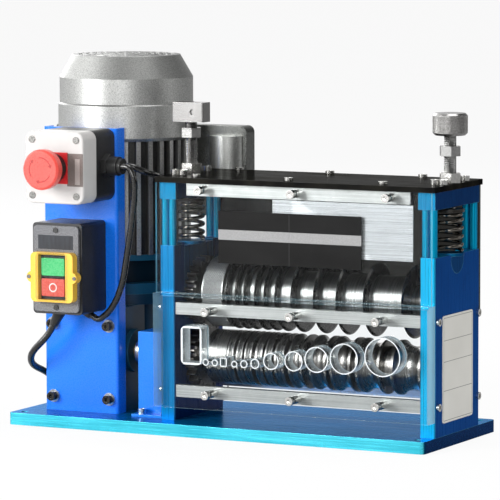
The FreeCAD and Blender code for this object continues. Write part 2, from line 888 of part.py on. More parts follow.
def make_top_plate():
    left = f"{FRAME_LEFT} - plate_side_overhang"
    front = f"{BLOCK_FRONT} - plate_front_overhang"
    plate = Solid(left, front, PLATE_Z)
    width = "frame_width + 2 * plate_side_overhang"
    depth = "block_depth + plate_front_overhang + plate_rear_overhang"
    plate.pad(plate.rectangle("XY", "0", "0", width, depth), "plate_thickness")

    def local(places):
        return [(f"{x} - ({left})", f"{y} - ({front})") for x, y in places]

    screws = local(plate_screw_places() + adjuster_screw_places())
    plate.pocket(plate.circles("XY", screws, "screw_diameter + 2 * screw_clearance"))
    adjusters = local(((LEFT_MIDDLE, ROLLER_Y), (RIGHT_MIDDLE, ROLLER_Y)))
    plate.pocket(plate.circles("XY", adjusters, "rod_diameter + 2 * rod_clearance"))
    keep("top_plate", plate.round("plate_corner", along("z")).body)


def make_crossbars():
    span = "frame_width - 2 * block_thickness"
    top_x = f"{FRAME_LEFT} + top_block_thickness + top_bar_end_gap"
    top_span = "frame_width - 2 * top_block_thickness - 2 * top_bar_end_gap"
    bars = [
        box(top_x, y, TOP_BAR_Z, top_span, "bar_thickness", "top_bar_height")
        for y in (TOP_BAR_Y, REAR_BAR_Y)
    ]
    for y in (FRONT_BAR_Y, REAR_BAR_Y):
        for z in (MIDDLE_BAR_Z, LOWER_BAR_Z):
            bars.append(box(LEFT_INNER, y, z, span, "bar_thickness", "bar_height"))
    keep("crossbars", group(*bars))


def make_upper_guards():
    x = f"{FRAME_LEFT} - guard_side_reach"
    width = "frame_width"
    front = Solid(x, UPPER_GUARD_BACK, LOWER_GUARD_TOP)
    height = f"{PLATE_Z} - ({LOWER_GUARD_TOP})"
    front.pad(front.rectangle("XZ", "0", "0", width, height), "guard_thickness")
    holes = [(f"{column} - ({x})", f"{TOP_SCREW_Z} - ({LOWER_GUARD_TOP})") for column in TOP_COLUMNS]
    keep("upper_guard", front.pocket(front.circles("XZ", holes, SCREW_HOLE)).body)

    bottom = f"{PLATE_Z} - rear_guard_height"
    rear = Solid(FRAME_LEFT, f"{BLOCK_REAR} + guard_thickness", bottom)
    rear.pad(rear.rectangle("XZ", "0", "0", width, "rear_guard_height"), "guard_thickness")
    holes = [
        (f"{column} - ({FRAME_LEFT})", f"{z} - ({bottom})")
        for column in GUIDE_COLUMNS
        for z in (TOP_SCREW_Z, MIDDLE_SCREW_Z)
    ]
    keep("rear_guard", rear.pocket(rear.circles("XZ", holes, SCREW_HOLE)).body)


def make_lower_guard():
    bottom = "base_thickness + lower_guard_rise"
    guard = Solid(FRAME_LEFT, BLOCK_FRONT, bottom)
    guard.pad(guard.rectangle("XZ", "0", "0", "frame_width", "lower_guard_height"), "lower_guard_reach")
    inside = guard.rectangle("XZ", "guard_thickness", "0", "frame_width - 2 * guard_thickness",
                             "lower_guard_height - guard_thickness")
    guard.pocket(inside, "lower_guard_reach - guard_thickness", True)

    def local(x, z):
        return f"{x} - ({FRAME_LEFT})", f"{z} - ({bottom})"

    screws = [local(x, z) for x in GUIDE_COLUMNS for z in (MIDDLE_SCREW_Z, LOWER_SCREW_Z)]
    guard.pocket(guard.circles("XZ", screws, SCREW_HOLE))
    for number in range(1, PORTS + 1):
        if number != SLOT_PORT:
            sleeve = f"bore_{number} + 2 * tube_wall + 2 * screw_clearance"
            guard.pocket(guard.circles("XZ", (local(port_x(number), port_z(number)),), sleeve))
    for x, width, height, wall in slots():
        outer_width = f"{width} + 2 * {wall} + 2 * screw_clearance"
        outer_height = f"{height} + 2 * {wall} + 2 * screw_clearance"
        u, v = local(f"{x} - ({outer_width}) / 2", "base_thickness + port_floor - screw_clearance")
        guard.pocket(guard.rectangle("XZ", u, v, outer_width, outer_height))
    keep("lower_guard", guard.body)


def slots():
    """Rectangular ports: middle, clear width and height, and wall."""
    return (
        (FLAT_SLOT_X, "flat_slot_width", "flat_slot_height", "flat_slot_wall"),
        (port_x(SLOT_PORT), f"bore_{SLOT_PORT}", "small_slot_height", "tube_wall"),
    )


def make_cable_guides():
    """Clear tubes in the lower guard, one for each size of cable."""
    back = f"{LOWER_GUARD_FRONT} - tube_reach"
    sleeves = []
    for number in range(1, PORTS + 1):
        if number != SLOT_PORT:
            x = port_x(number)
            z = port_z(number)
            tube = rod("y", x, back, z, f"bore_{number} + 2 * tube_wall", "tube_length")
            bore = rod("y", x, back, z, f"bore_{number}", "tube_length")
            sleeves.append(cut(tube, bore))
    corners = ("flat_slot_corner", "small_slot_corner")
    for (x, width, height, wall), corner in zip(slots(), corners):
        sleeve = Solid(x, f"{back} + tube_length", "base_thickness + port_floor")
        outer = f"{width} + 2 * {wall}"
        sleeve.pad(sleeve.rectangle("XZ", f"-({outer}) / 2", "0", outer, f"{height} + 2 * {wall}"),
                   "tube_length")
        sleeve.round(corner, along("y"))
        sleeve.pocket(sleeve.rectangle("XZ", f"-{width} / 2", wall, width, height))
        sleeves.append(sleeve.body)
    keep("cable_guides", group(*sleeves))


def make_panels():
    label = box(f"{LEFT_INNER} + label_start", f"{UPPER_GUARD_FRONT} - label_thickness",
                "base_thickness + label_rise", "label_width", "label_thickness", "label_height")
    keep("label_panel", label)
    info = box(f"{LEFT_INNER} + info_start", UPPER_GUARD_BACK, f"{TOP_BAR_Z} - info_height", "info_width",
               "label_thickness", "info_height")
    plate = Solid(FRAME_RIGHT, f"{ROLLER_Y} - rating_width / 2", "base_thickness + rating_rise")
    plate.pad(plate.rectangle("YZ", "0", "0", "rating_width", "rating_height"), "rating_thickness")
    keep("metal_plates", group(info, plate.round("rating_corner", along("x")).body))


def make_frame_screws():
    """Screws of the top plate, side blocks and cover foot, and the adjusters' fixed nuts."""
    screws = []
    for x, y in plate_screw_places():
        screws.append(cap_screw("z", x, y, PLATE_TOP, "plate_thickness", "button_head", "button_head_height"))
    for x, y in adjuster_screw_places():
        screws.append(cap_screw("z", x, y, PLATE_TOP, "plate_thickness"))
    screws.append(cap_screw("z", COVER_SCREW_X, COVER_SCREW_Y, "base_thickness + cover_wall", "cover_wall"))
    right_socket = f"{FRAME_RIGHT} + button_head_height - side_socket_depth"
    left_head = f"{FRAME_LEFT} - button_head_height"
    for y in (f"{FRONT_BAR_Y} + bar_thickness / 2", f"{REAR_BAR_Y} + bar_thickness / 2"):
        for z in (MIDDLE_SCREW_Z, LOWER_SCREW_Z):
            for head_x, socket_x in ((FRAME_RIGHT, right_socket), (left_head, left_head)):
                head = rod("x", head_x, y, z, "side_screw_head", "button_head_height")
                socket = hexagon("x", socket_x, y, z, "socket_width", "side_socket_depth")
                screws.append(cut(head, socket))
    for middle in (LEFT_MIDDLE, RIGHT_MIDDLE):
        nut = hexagon("z", middle, ROLLER_Y, PLATE_TOP, "nut_width", "nut_height")
        bore = rod("z", middle, ROLLER_Y, PLATE_TOP, "rod_diameter + 2 * running_clearance", "nut_height")
        screws.append(cut(nut, bore))
    keep("frame_screws", group(*screws))


def make_guard_screws():
    """Screws through the clear guards, with spacers in front of the crossbars."""
    pieces = []

    def stack(x, z, guard_front, bar_front):
        reach = f"{bar_front} - ({guard_front})"
        pieces.append(cap_screw("y", x, guard_front, z, reach))
        start = f"{guard_front} + guard_thickness"
        length = f"{bar_front} - ({start})"
        sleeve = rod("y", x, start, z, "spacer_diameter", length)
        pieces.append(cut(sleeve, rod("y", x, start, z, SCREW_HOLE, length)))

    for x in TOP_COLUMNS:
        stack(x, TOP_SCREW_Z, UPPER_GUARD_FRONT, TOP_BAR_Y)
    for x in GUIDE_COLUMNS:
        for z in (MIDDLE_SCREW_Z, LOWER_SCREW_Z):
            stack(x, z, LOWER_GUARD_FRONT, FRONT_BAR_Y)
    rear_face = f"{BLOCK_REAR} + guard_thickness"
    for x in GUIDE_COLUMNS:
        for z in (TOP_SCREW_Z, MIDDLE_SCREW_Z):
            head = rod("y", x, rear_face, z, "screw_head", "screw_head_height")
            shank = rod("y", x, BLOCK_REAR, z, "screw_diameter", "guard_thickness")
            socket = hexagon("y", x, f"{rear_face} + screw_head_height - socket_depth", z, "socket_width",
                             "socket_depth")
            pieces.append(cut(fuse(head, shank), socket))
    keep("guard_screws", group(*pieces))


def make_lower_bearings():
    rings = []
    for x in (f"{LEFT_INNER} - bearing_width", RIGHT_INNER):
        ring = rod("x", x, ROLLER_Y, LOWER_Z, "bearing_diameter", "bearing_width")
        bore = rod("x", x, ROLLER_Y, LOWER_Z, "shaft_diameter + 2 * running_clearance", "bearing_width")
        rings.append(cut(ring, bore))
    keep("lower_bearings", group(*rings))


def gear_outline(teeth, backlash, turn):
    """Involute teeth of 20 degrees pressure angle, as a closed wire in the YZ plane."""
    module = size("gear_module")
    pitch_radius = module * teeth / 2
    base_radius = pitch_radius * math.cos(math.radians(20))
    tip_radius = pitch_radius + 0.95 * module
    root_radius = pitch_radius - 1.25 * module
    half_tooth = math.pi / (2 * teeth) - backlash / (2 * pitch_radius)
    involute_at_pitch = math.tan(math.radians(20)) - math.radians(20)

    def flank_angle(radius):
        if radius <= base_radius:
            return half_tooth + involute_at_pitch
        pressure = math.acos(base_radius / radius)
        return half_tooth + involute_at_pitch - (math.tan(pressure) - pressure)

    radii = [root_radius, base_radius, (base_radius + pitch_radius) / 2, pitch_radius, tip_radius]
    points = []
    for tooth in range(teeth):
        middle = turn + 2 * math.pi * tooth / teeth
        flank = [(radius, middle - flank_angle(radius)) for radius in radii]
        flank += [(radius, middle + flank_angle(radius)) for radius in reversed(radii)]
        points += [Vector(0, radius * math.cos(angle), radius * math.sin(angle)) for radius, angle in flank]
    return Part.makePolygon(points + points[:1])


def make_gear(label, axis_height, turn):
    width = size("gear_width")
    gear = Part.Face(gear_outline(int(size("gear_teeth")), size("gear_backlash"), turn))
    gear = gear.extrude(Vector(width, 0, 0))
    bore = Part.makeCylinder(size("shaft_diameter") / 2, width, Vector(), Vector(1, 0, 0))
    piece = feature(gear.cut(bore))
    keep(label, set_place(piece, GEAR_X, ROLLER_Y, axis_height))


def make_lower_roller():
    start = f"{COUPLING_X} + coupling_length / 2 + end_gap"
    end = f"{RIGHT_INNER} + bearing_width - end_gap"
    coupling = rod("x", COUPLING_X, ROLLER_Y, LOWER_Z, "2 * coupling_radius", "coupling_length")
    bore = rod("x", COUPLING_X, ROLLER_Y, LOWER_Z, "shaft_diameter", "coupling_length")
    shaft = rod("x", start, ROLLER_Y, LOWER_Z, "shaft_diameter", f"{end} - ({start})")
    keep("lower_shaft", group(shaft, cut(coupling, bore)))

    wheels = []
    last = f"{GEAR_X} + gear_width"

    def ring(x, diameter, length):
        disc = rod("x", x, ROLLER_Y, LOWER_Z, diameter, length)
        return cut(disc, rod("x", x, ROLLER_Y, LOWER_Z, "shaft_diameter", length))

    def fill(until):
        wheels.append(ring(last, "2 * wheel_spacer_radius", f"{until} - ({last})"))

    drum = f"{FLAT_SLOT_X} - drum_width / 2"
    fill(drum)
    wheels.append(ring(drum, "2 * wheel_radius", "drum_width"))
    last = f"{drum} + drum_width"
    for number in range(1, PORTS + 1):
        begin = f"{port_x(number)} - feed_{number} / 2"
        fill(begin)
        wheel = ring(begin, "2 * wheel_radius", f"feed_{number}")
        groove = doc.addObject("Part::Torus", "groove")
        groove.Placement = Placement(Vector(), AXES["x"])
        groove.setExpression("Radius1", formula(f"wheel_radius + 0.335 * bore_{number}"))
        groove.setExpression("Radius2", formula(f"0.5 * bore_{number}"))
        set_place(groove, port_x(number), ROLLER_Y, LOWER_Z)
        wheels.append(cut(wheel, groove))
        last = f"{begin} + feed_{number}"
    wheels.append(ring(last, "2 * end_collar_radius", "end_collar_width"))
    keep("feed_wheels", group(*wheels))
    make_gear("lower_gear", LOWER_Z, math.pi / 2 + math.pi / int(size("gear_teeth")))


def make_upper_roller():
    start = f"{LEFT_INNER} - block_thickness / 2 + end_gap"
    end = f"{RIGHT_INNER} + block_thickness / 2 - end_gap"
    keep("upper_shaft", rod("x", start, ROLLER_Y, UPPER_Z, "shaft_diameter", f"{end} - ({start})"))

    def ring(x, diameter, length):
        disc = rod("x", x, ROLLER_Y, UPPER_Z, diameter, length)
        return cut(disc, rod("x", x, ROLLER_Y, UPPER_Z, "shaft_diameter", length))

    spacers = []
    blades = []
    last = f"{GEAR_X} + gear_width"
    drum = f"{FLAT_SLOT_X} - drum_width / 2"
    spacers.append(ring(last, "2 * end_collar_radius", f"{drum} - ({last})"))
    keep("knurled_drum", ring(drum, "2 * drum_radius", "drum_width"))
    last = f"{drum} + drum_width"
    for number in range(1, PORTS + 1):
        begin = f"{port_x(number)} - blade_thickness / 2"
        radius = "narrow_spacer_radius" if number <= NARROW_PORTS else "wide_spacer_radius"
        spacers.append(ring(last, f"2 * {radius}", f"{begin} - ({last})"))
        blade = Solid(begin, ROLLER_Y, UPPER_Z)
        blade.body.Placement = Placement(Vector(), AXES["x"])
        outline = (
            ("shaft_diameter / 2", "0"),
            ("blade_radius - blade_thickness / 2 - blade_bevel", "0"),
            ("blade_radius", "blade_thickness / 2 - 0.15"),
            ("blade_radius", "blade_thickness / 2 + 0.15"),
            ("blade_radius - blade_thickness / 2 - blade_bevel", "blade_thickness"),
            ("shaft_diameter / 2", "blade_thickness"),
        )
        blades.append(blade.revolve(blade.polygon("XZ", outline)).body)
        last = f"{begin} + blade_thickness"
    spacers.append(ring(last, "2 * end_collar_radius", f"{RIGHT_INNER} - end_gap - ({last})"))
    keep("slitting_blades", group(*blades))
    keep("blade_spacers", group(*spacers))
    make_gear("upper_gear", UPPER_Z, math.pi / 2)


def make_carriages():
    """Bearing carriages that slide in the side blocks and carry the springs' lower seats."""
    pieces = []
    bottom = f"{UPPER_Z} - carriage_reach"
    top = f"{BLOCK_TOP} - carriage_top_gap"
    half = "block_thickness / 2"
    tongue_bottom = f"{BLOCK_TOP} - notch_depth + lift_seat_gap"
    for inner_x, outer_x, middle in (
        (f"{LEFT_INNER} - {half}", f"{LEFT_INNER} - block_thickness", LEFT_MIDDLE),
        (RIGHT_INNER, f"{RIGHT_INNER} + {half}", RIGHT_MIDDLE),
    ):
        y = f"{ROLLER_Y} - carriage_width / 2"
        slide = box(inner_x, y, bottom, half, "carriage_width", f"{top} - ({bottom})")
        radius = "notch_width / 2 - running_clearance"
        arc_z = f"{tongue_bottom} + {radius}"
        left_side = f"{ROLLER_Y} - ({radius})"
        tongue = box(outer_x, left_side, arc_z, half, f"2 * ({radius})", f"{top} - ({arc_z})")
        below = box(outer_x, left_side, tongue_bottom, half, f"2 * ({radius})", radius)
        heel = common(rod("x", outer_x, ROLLER_Y, arc_z, f"2 * ({radius})", half), below)
        bore = rod("x", inner_x, ROLLER_Y, UPPER_Z, "shaft_diameter + 2 * running_clearance", half)
        seat = rod("z", middle, ROLLER_Y, top, "seat_diameter", "seat_thickness")
        pieces.append(cut(fuse(slide, tongue, heel, seat), bore))
    keep("bearing_carriages", group(*pieces))


def spring_shape():
    """A compression spring with closed ends, standing on the origin."""
    wire = size("spring_wire")
    radius = (size("spring_diameter") - wire) / 2
    turns = size("spring_turns")
    end_pitch = size("spring_end_pitch")
    rise = size("spring_length") - wire - 2 * size("end_gap")
    quarters = int(4 * turns)
    main_pitch = (rise - 2 * end_pitch * 0.75) / (turns - 1.5)

    def pitch(turn):
        inward = min(turn, turns - turn)
        share = min(max((inward - 0.5) / 0.5, 0), 1)
        return end_pitch + (main_pitch - end_pitch) * share

    heights = [0.0]
    for index in range(quarters):
        heights.append(heights[-1] + (pitch(index / 4) + pitch((index + 1) / 4)) / 8)
    scale = rise / heights[-1]
    nodes = []
    for index, height in enumerate(heights):
        angle = math.pi / 2 * index
        place = Vector(radius * math.cos(angle), radius * math.sin(angle),
                       height * scale + wire / 2 + size("end_gap"))
        heading = Vector(-math.sin(angle), math.cos(angle), pitch(index / 4) * scale / (2 * math.pi * radius))
        nodes.append((place, heading.normalize()))
    edges = []
    for (place, heading), (after, final) in zip(nodes, nodes[1:]):
        edges += biarc(place, heading, after, final)
    samples = [point for edge in edges for point in edge.discretize(9)[:-1]]
    print("spring self gap", round(least_gap(samples, wire, 48), 2))
    return sweep(edges, wire)


def make_adjusters():
    coil = spring_shape()
    for side, middle in (("left", LEFT_MIDDLE), ("right", RIGHT_MIDDLE)):
        piece = set_place(feature(coil.copy()), middle, ROLLER_Y, SEAT_TOP)
        keep("spring_" + side, piece)
        cap = rod("z", middle, ROLLER_Y, CAP_BOTTOM, "seat_diameter", "seat_thickness")
        recess_z = f"{CAP_BOTTOM} + seat_thickness - cap_recess"
        recess = rod("z", middle, ROLLER_Y, recess_z, "rod_diameter + 2 * running_clearance", "cap_recess")
        keep("spring_cap_" + side, cut(cap, recess))
    rod_bottom = f"{CAP_BOTTOM} + seat_thickness - cap_recess + running_clearance"
    knob_z = f"{PLATE_TOP} + knob_rise"
    knob_seat = f"{knob_z} + knob_height / 2"
    stem = rod("z", RIGHT_MIDDLE, ROLLER_Y, rod_bottom, "rod_diameter", f"{knob_seat} - ({rod_bottom})")
    nut = make_jam_nut(RIGHT_MIDDLE, "jam_nut_rise")
    knob = Solid(RIGHT_MIDDLE, ROLLER_Y, knob_z)
    radius = "knob_diameter / 2"
    outline = (
        ("rod_diameter / 2", "0"),
        (f"{radius} - knob_chamfer", "0"),
        (radius, "knob_chamfer"),
        (radius, "knob_height - knob_chamfer"),
        (f"{radius} - knob_chamfer", "knob_height"),
        ("0", "knob_height"),
        ("0", "knob_height / 2"),
        ("rod_diameter / 2", "knob_height / 2"),
    )
    knob.revolve(knob.polygon("XZ", outline))
    keep("right_adjuster", group(stem, nut, knob.body))

    handle_z = f"{PLATE_TOP} + handle_rise"
    handle_seat = f"{handle_z} + handle_height - handle_cap"
    stem = rod("z", LEFT_MIDDLE, ROLLER_Y, rod_bottom, "rod_diameter", f"{handle_seat} - ({rod_bottom})")
    nut = make_jam_nut(LEFT_MIDDLE, "left_jam_nut_rise")
    handle = Solid(LEFT_MIDDLE, ROLLER_Y, handle_z)
    handle.pad(handle.rectangle("XY", "-handle_length / 2", "-handle_depth / 2", "handle_length",
                                "handle_depth"), "handle_height")
    handle.round("knob_chamfer", along("z"))
    handle.pocket(handle.circles("XY", (("0", "0"),), "rod_diameter"), "handle_height - handle_cap", True)
    hole = (("handle_screw_shift", "handle_height / 2"),)
    handle.pocket(handle.circles("XZ", hole, "handle_screw_hole", "handle_depth / 2"), "handle_screw_depth")
    keep("left_adjuster", group(stem, nut, handle.body))


def make_jam_nut(middle, rise):
    nut_z = f"{PLATE_TOP} + {rise}"
    nut = hexagon("z", middle, ROLLER_Y, nut_z, "nut_width", "nut_height")
    return cut(nut, rod("z", middle, ROLLER_Y, nut_z, "rod_diameter", "nut_height"))


def bracket_bolt_places():
    return [
        (f"{BRACKET_CENTRE} + {across} * bracket_bolt_across / 2",
         f"base_thickness + bracket_bolt_rise + {up} * bracket_bolt_up / 2")
        for across in (-1, 1)
        for up in (-1, 1)
    ]


def make_bracket():
    """A folded channel that carries the controls and is bolted to the gearbox."""
    bracket = Solid(BRACKET_LEFT, BRACKET_FRONT, "base_thickness")
    inner = "bracket_width - bracket_thickness"
    outline = (
        ("0", "0"),
        ("bracket_width", "0"),
        ("bracket_width", "bracket_flange"),
        (inner, "bracket_flange"),
        (inner, "bracket_thickness"),
        ("bracket_thickness", "bracket_thickness"),
        ("bracket_thickness", "bracket_flange"),
        ("0", "bracket_flange"),
    )
    bracket.pad(bracket.polygon("XY", outline), "bracket_height")

    def bend(edge):
        return along("z")(edge) and edge.BoundBox.YMax < 0.01

    bracket.round("bracket_bend", bend)
    holes = [(f"{x} - ({BRACKET_LEFT})", f"{z} - base_thickness") for x, z in bracket_bolt_places()]
    bracket.pocket(bracket.circles("XZ", holes, "bracket_bolt + 2 * screw_clearance"))
    keep("motor_bracket", bracket.body)

    bolts = []
    for x, z in bracket_bolt_places():
        washer_y = f"{BRACKET_FRONT} - washer_thickness"
        washer = rod("y", x, washer_y, z, "washer_diameter", "washer_thickness")
        hole = rod("y", x, washer_y, z, "bracket_bolt + 2 * screw_clearance", "washer_thickness")
        bolts.append(cut(washer, hole))
        bolts.append(cap_screw("y", x, washer_y, z, "washer_thickness + bracket_thickness",
                               "bracket_bolt_head", "bracket_bolt_head_height", "bracket_bolt"))
    keep("bracket_bolts", group(*bolts))


def make_gearbox():
    """Worm gearbox: a cast housing open at the top to the motor's shaft."""
    width = "bracket_width - 2 * bracket_thickness"
    left = f"{BRACKET_LEFT} + bracket_thickness"
    right = f"{BRACKET_LEFT} + bracket_width - bracket_thickness"
    body = box(left, BRACKET_BACK, "base_thickness", width, "gearbox_depth", "gearbox_height")
    column = rod("z", MOTOR_X, MOTOR_Y, "base_thickness", "2 * gearbox_column_radius", "gearbox_height")
    flange = rod("z", MOTOR_X, MOTOR_Y, FLANGE_Z, "flange_diameter", "flange_thickness")
    boss = rod("x", right, ROLLER_Y, LOWER_Z, "gearbox_cover_diameter", "gearbox_cover_thickness")
    cap = rod("x", f"{left} - gearbox_cover_thickness", ROLLER_Y, LOWER_Z, "gearbox_cover_diameter",
              "gearbox_cover_thickness")
    wheel_room = rod("x", f"{MOTOR_X} - wheel_cavity_width / 2", ROLLER_Y, LOWER_Z,
                     "2 * wheel_cavity_radius", "wheel_cavity_width")
    floor = "base_thickness + gearbox_floor"
    worm_room = rod("z", MOTOR_X, MOTOR_Y, floor, "2 * worm_cavity_radius",
                    f"{NECK_Z} - ({floor})")
    bore = rod("x", left, ROLLER_Y, LOWER_Z, "shaft_diameter + 2 * running_clearance",
               f"{right} - ({left}) + gearbox_cover_thickness")
    keep("gearbox_housing", cut(fuse(body, column, flange, boss, cap), wheel_room, worm_room, bore))

    teeth = int(size("worm_wheel_teeth"))
    pieces = [disc_with_teeth(teeth)]
    start = f"{left} + end_gap"
    end = f"{COUPLING_X} + coupling_length / 2 - end_gap"
    pieces.append(rod("x", start, ROLLER_Y, LOWER_Z, "shaft_diameter", f"{end} - ({start})"))
    keep("worm_wheel", group(*pieces))


def disc_with_teeth(teeth):
    """The worm wheel, with a shallow tooth round its rim for each lead of the worm."""
    radius = size("worm_wheel_radius")
    root = radius - size("worm_tooth_depth")
    width = size("worm_wheel_width")
    points = []
    for tooth in range(teeth):
        for share, reach in ((-0.2, radius), (0.2, radius), (0.35, root), (0.65, root)):
            angle = 2 * math.pi * (tooth + share) / teeth
            points.append(Vector(0, reach * math.cos(angle), reach * math.sin(angle)))
    disc = Part.Face(Part.makePolygon(points + points[:1])).extrude(Vector(width, 0, 0))
    bore = Part.makeCylinder(size("shaft_diameter") / 2, width, Vector(), Vector(1, 0, 0))
    return set_place(feature(disc.cut(bore)), f"{MOTOR_X} - worm_wheel_width / 2", ROLLER_Y, LOWER_Z)


def make_coupling_cover():
    """A folded blue cover over the coupling, with a foot in front."""
    outer = box(COVER_X, COVER_FRONT, "base_thickness", "cover_length", "cover_width", "cover_height")
    inner = box(COVER_X, f"{COVER_FRONT} + cover_wall", "base_thickness", "cover_length",
                "cover_width - 2 * cover_wall", "cover_height - cover_wall")
    foot = box(COVER_X, f"{COVER_FRONT} - cover_foot", "base_thickness", "cover_length",
               "cover_foot + cover_wall", "cover_wall")
    hole = rod("z", COVER_SCREW_X, COVER_SCREW_Y, "base_thickness", SCREW_HOLE, "cover_wall")
    keep("coupling_cover", cut(fuse(cut(outer, inner), foot), hole))


def tube(diameter, bore, z, height):
    """An upright ring on the motor's axis."""
    wall = rod("z", MOTOR_X, MOTOR_Y, z, diameter, height)
    return cut(wall, rod("z", MOTOR_X, MOTOR_Y, z, bore, height))


def make_motor():
    """A vertical motor: flange, neck, rim and finned frame, end bell and fan cowl."""
    flange = tube("flange_diameter", "motor_shaft + 1", f"{FLANGE_Z} + flange_thickness",
                  "flange_thickness")
    neck = tube("neck_diameter", "neck_diameter - 2 * shell_thickness", NECK_Z, "neck_height")
    rim = tube("rim_diameter", "neck_diameter - 2 * shell_thickness", f"{NECK_Z} + neck_height", "rim_height")
    core = tube("stator_core_diameter", "frame_bore", STATOR_Z, "stator_height")
    start = size("frame_bore / 2 + fin_root")
    thickness = size("fin_thickness")
    count = int(size("fin_count"))
    fins = []
    for index in range(count):
        fin = Part.makeBox(size("fin_diameter") / 2 - start, thickness, size("stator_height"),
                           Vector(start, -thickness / 2, 0))
        fin.rotate(Vector(), Vector(0, 0, 1), 360 * (index + 0.5) / count)
        fins.append(fin)
    fins = set_place(feature(fins[0].multiFuse(fins[1:])), MOTOR_X, MOTOR_Y, STATOR_Z)
    stack = tube("frame_bore", "stack_bore", f"{STATOR_Z} + (stator_height - stack_height) / 2",
                 "stack_height")
    keep("motor_frame", group(fuse(flange, neck, rim, core, fins), stack))

    bell = Solid(MOTOR_X, MOTOR_Y, BELL_Z)
    radius = "bell_diameter / 2"
    inner = f"{radius} - shell_thickness"
    outline = (
        ("motor_shaft / 2 + 0.5", "0"),
        (f"{radius} - bell_bottom_edge", "0"),
        (radius, "bell_bottom_edge"),
        (radius, "bell_height - bell_top_edge"),
        (f"{radius} - bell_top_edge", "bell_height"),
        (inner, "bell_height"),
        (inner, "bell_floor"),
        ("motor_shaft / 2 + 0.5", "bell_floor"),
    )
    bell.revolve(bell.polygon("XZ", outline))

    def on_wall(angle, reach, diameter, length):
        """A rod that points out from the bell's axis, starting at a reach from it."""
        outward = Vector(math.cos(math.radians(angle)), math.sin(math.radians(angle)), 0)
        piece = rod("z", "0", "0", "0", diameter, length)
        piece.Placement = Placement(Vector(), Rotation(Vector(0, 0, 1), outward))
        return set_place(piece, f"{MOTOR_X} + {outward.x:.6f} * ({reach})",
                         f"{MOTOR_Y} + {outward.y:.6f} * ({reach})", f"{BELL_Z} + bell_screw_rise")

    root = f"{radius} - shell_thickness / 2"
    face = f"{radius} + bell_boss_height"
    bosses = [on_wall(angle, root, "bell_boss_diameter", "shell_thickness / 2 + bell_boss_height")
              for angle in BELL_SCREW_ANGLES]
    screws = [on_wall(angle, face, "screw_head", "button_head_height") for angle in BELL_SCREW_ANGLES]
    keep("motor_end_bell", group(fuse(bell.body, *bosses), *screws))


def make_cowl():
    """The fan cowl: a wall, a sloping shoulder and a low domed grille."""
    cowl = Solid(MOTOR_X, MOTOR_Y, COWL_Z)
    wall = "cowl_diameter / 2"
    top = "cowl_top_diameter / 2"
    shoulder = "cowl_wall_height"
    height = "cowl_height - cowl_dome"
    thick = "shell_thickness"
    outline = (
        ("0", f"{height} + cowl_dome - {thick}"),
        (f"{top} - {thick}", f"{height} - {thick}"),
        (f"{wall} - {thick}", shoulder),
        (f"{wall} - {thick}", "0"),
        (wall, "0"),
        (wall, shoulder),
        (top, height),
        ("0", f"{height} + cowl_dome"),
    )
    cowl.revolve(cowl.polygon("XZ", outline))
    rings = []
    for ring in range(int(size("grille_rings"))):
        radius = size("grille_hub") + size("grille_pitch") * (ring + 0.5)
        height_span = size("cowl_height")
        outer = Part.makeCylinder(radius + size("grille_slot") / 2, height_span)
        rings.append(outer.cut(Part.makeCylinder(radius - size("grille_slot") / 2, height_span)))
    spokes = []
    count = int(size("grille_spokes"))
    width = size("grille_spoke_width")
    for index in range(count):
        spoke = Part.makeBox(size("cowl_diameter"), width, size("cowl_height"), Vector(0, -width / 2, 0))
        spoke.rotate(Vector(), Vector(0, 0, 1), 360 * index / count)
        spokes.append(spoke)
    slots_shape = rings[0].multiFuse(rings[1:]).cut(spokes)
    tool = set_place(feature(slots_shape), MOTOR_X, MOTOR_Y, f"{COWL_Z} + cowl_wall_height")
    keep("fan_cowl", cut(cowl.body, tool))


def make_rotor():
    """The motor's shaft with the worm, the rotor and the fan."""
    bottom = "base_thickness + gearbox_floor + worm_end_gap"
    top = f"{COWL_Z} + cowl_wall_height"
    shaft = rod("z", MOTOR_X, MOTOR_Y, bottom, "motor_shaft", f"{top} - ({bottom})")
    worm = worm_shape()
    stack_z = f"{STATOR_Z} + (stator_height - rotor_height) / 2"
    core = rod("z", MOTOR_X, MOTOR_Y, stack_z, "rotor_diameter", "rotor_height")
    hub_z = f"{COWL_Z} + fan_gap"
    hub = rod("z", MOTOR_X, MOTOR_Y, hub_z, "fan_hub_diameter", "fan_height")
    disc = rod("z", MOTOR_X, MOTOR_Y, hub_z, "fan_diameter", "fan_sheet")
    blades = []
    count = int(size("fan_blades"))
    inner = size("fan_blade_start")
    sheet_thickness = size("fan_sheet")
    for index in range(count):
        blade = Part.makeBox(size("fan_diameter") / 2 - inner, sheet_thickness, size("fan_height"),
                             Vector(inner, -sheet_thickness / 2, 0))
        blade.rotate(Vector(), Vector(0, 0, 1), 360 * index / count)
        blades.append(blade)
    blades = set_place(feature(blades[0].multiFuse(blades[1:])), MOTOR_X, MOTOR_Y, hub_z)
    keep("motor_rotor", fuse(shaft, worm, core, hub, disc, blades))


def worm_shape():
    """The worm's outer form, with a ring groove for each turn of its thread."""
    pitch = math.pi * 2 * size("worm_wheel_radius") / size("worm_wheel_teeth")
    radius = size("worm_radius")
    root = radius - size("worm_tooth_depth")
    length = size("worm_length")
    body = Part.makeCylinder(radius, length)
    grooves = []
    count = int(length / pitch)
    for index in range(count):
        bottom = Vector(0, 0, (length - (count - 1) * pitch) / 2 + (index - 0.2) * pitch)
        ring = Part.makeCylinder(radius + 1, pitch * 0.4, bottom)
        grooves.append(ring.cut(Part.makeCylinder(root, pitch * 0.4, bottom)))
    body = body.cut(grooves)
    return set_place(feature(body), MOTOR_X, MOTOR_Y, f"{LOWER_Z} - worm_length / 2")


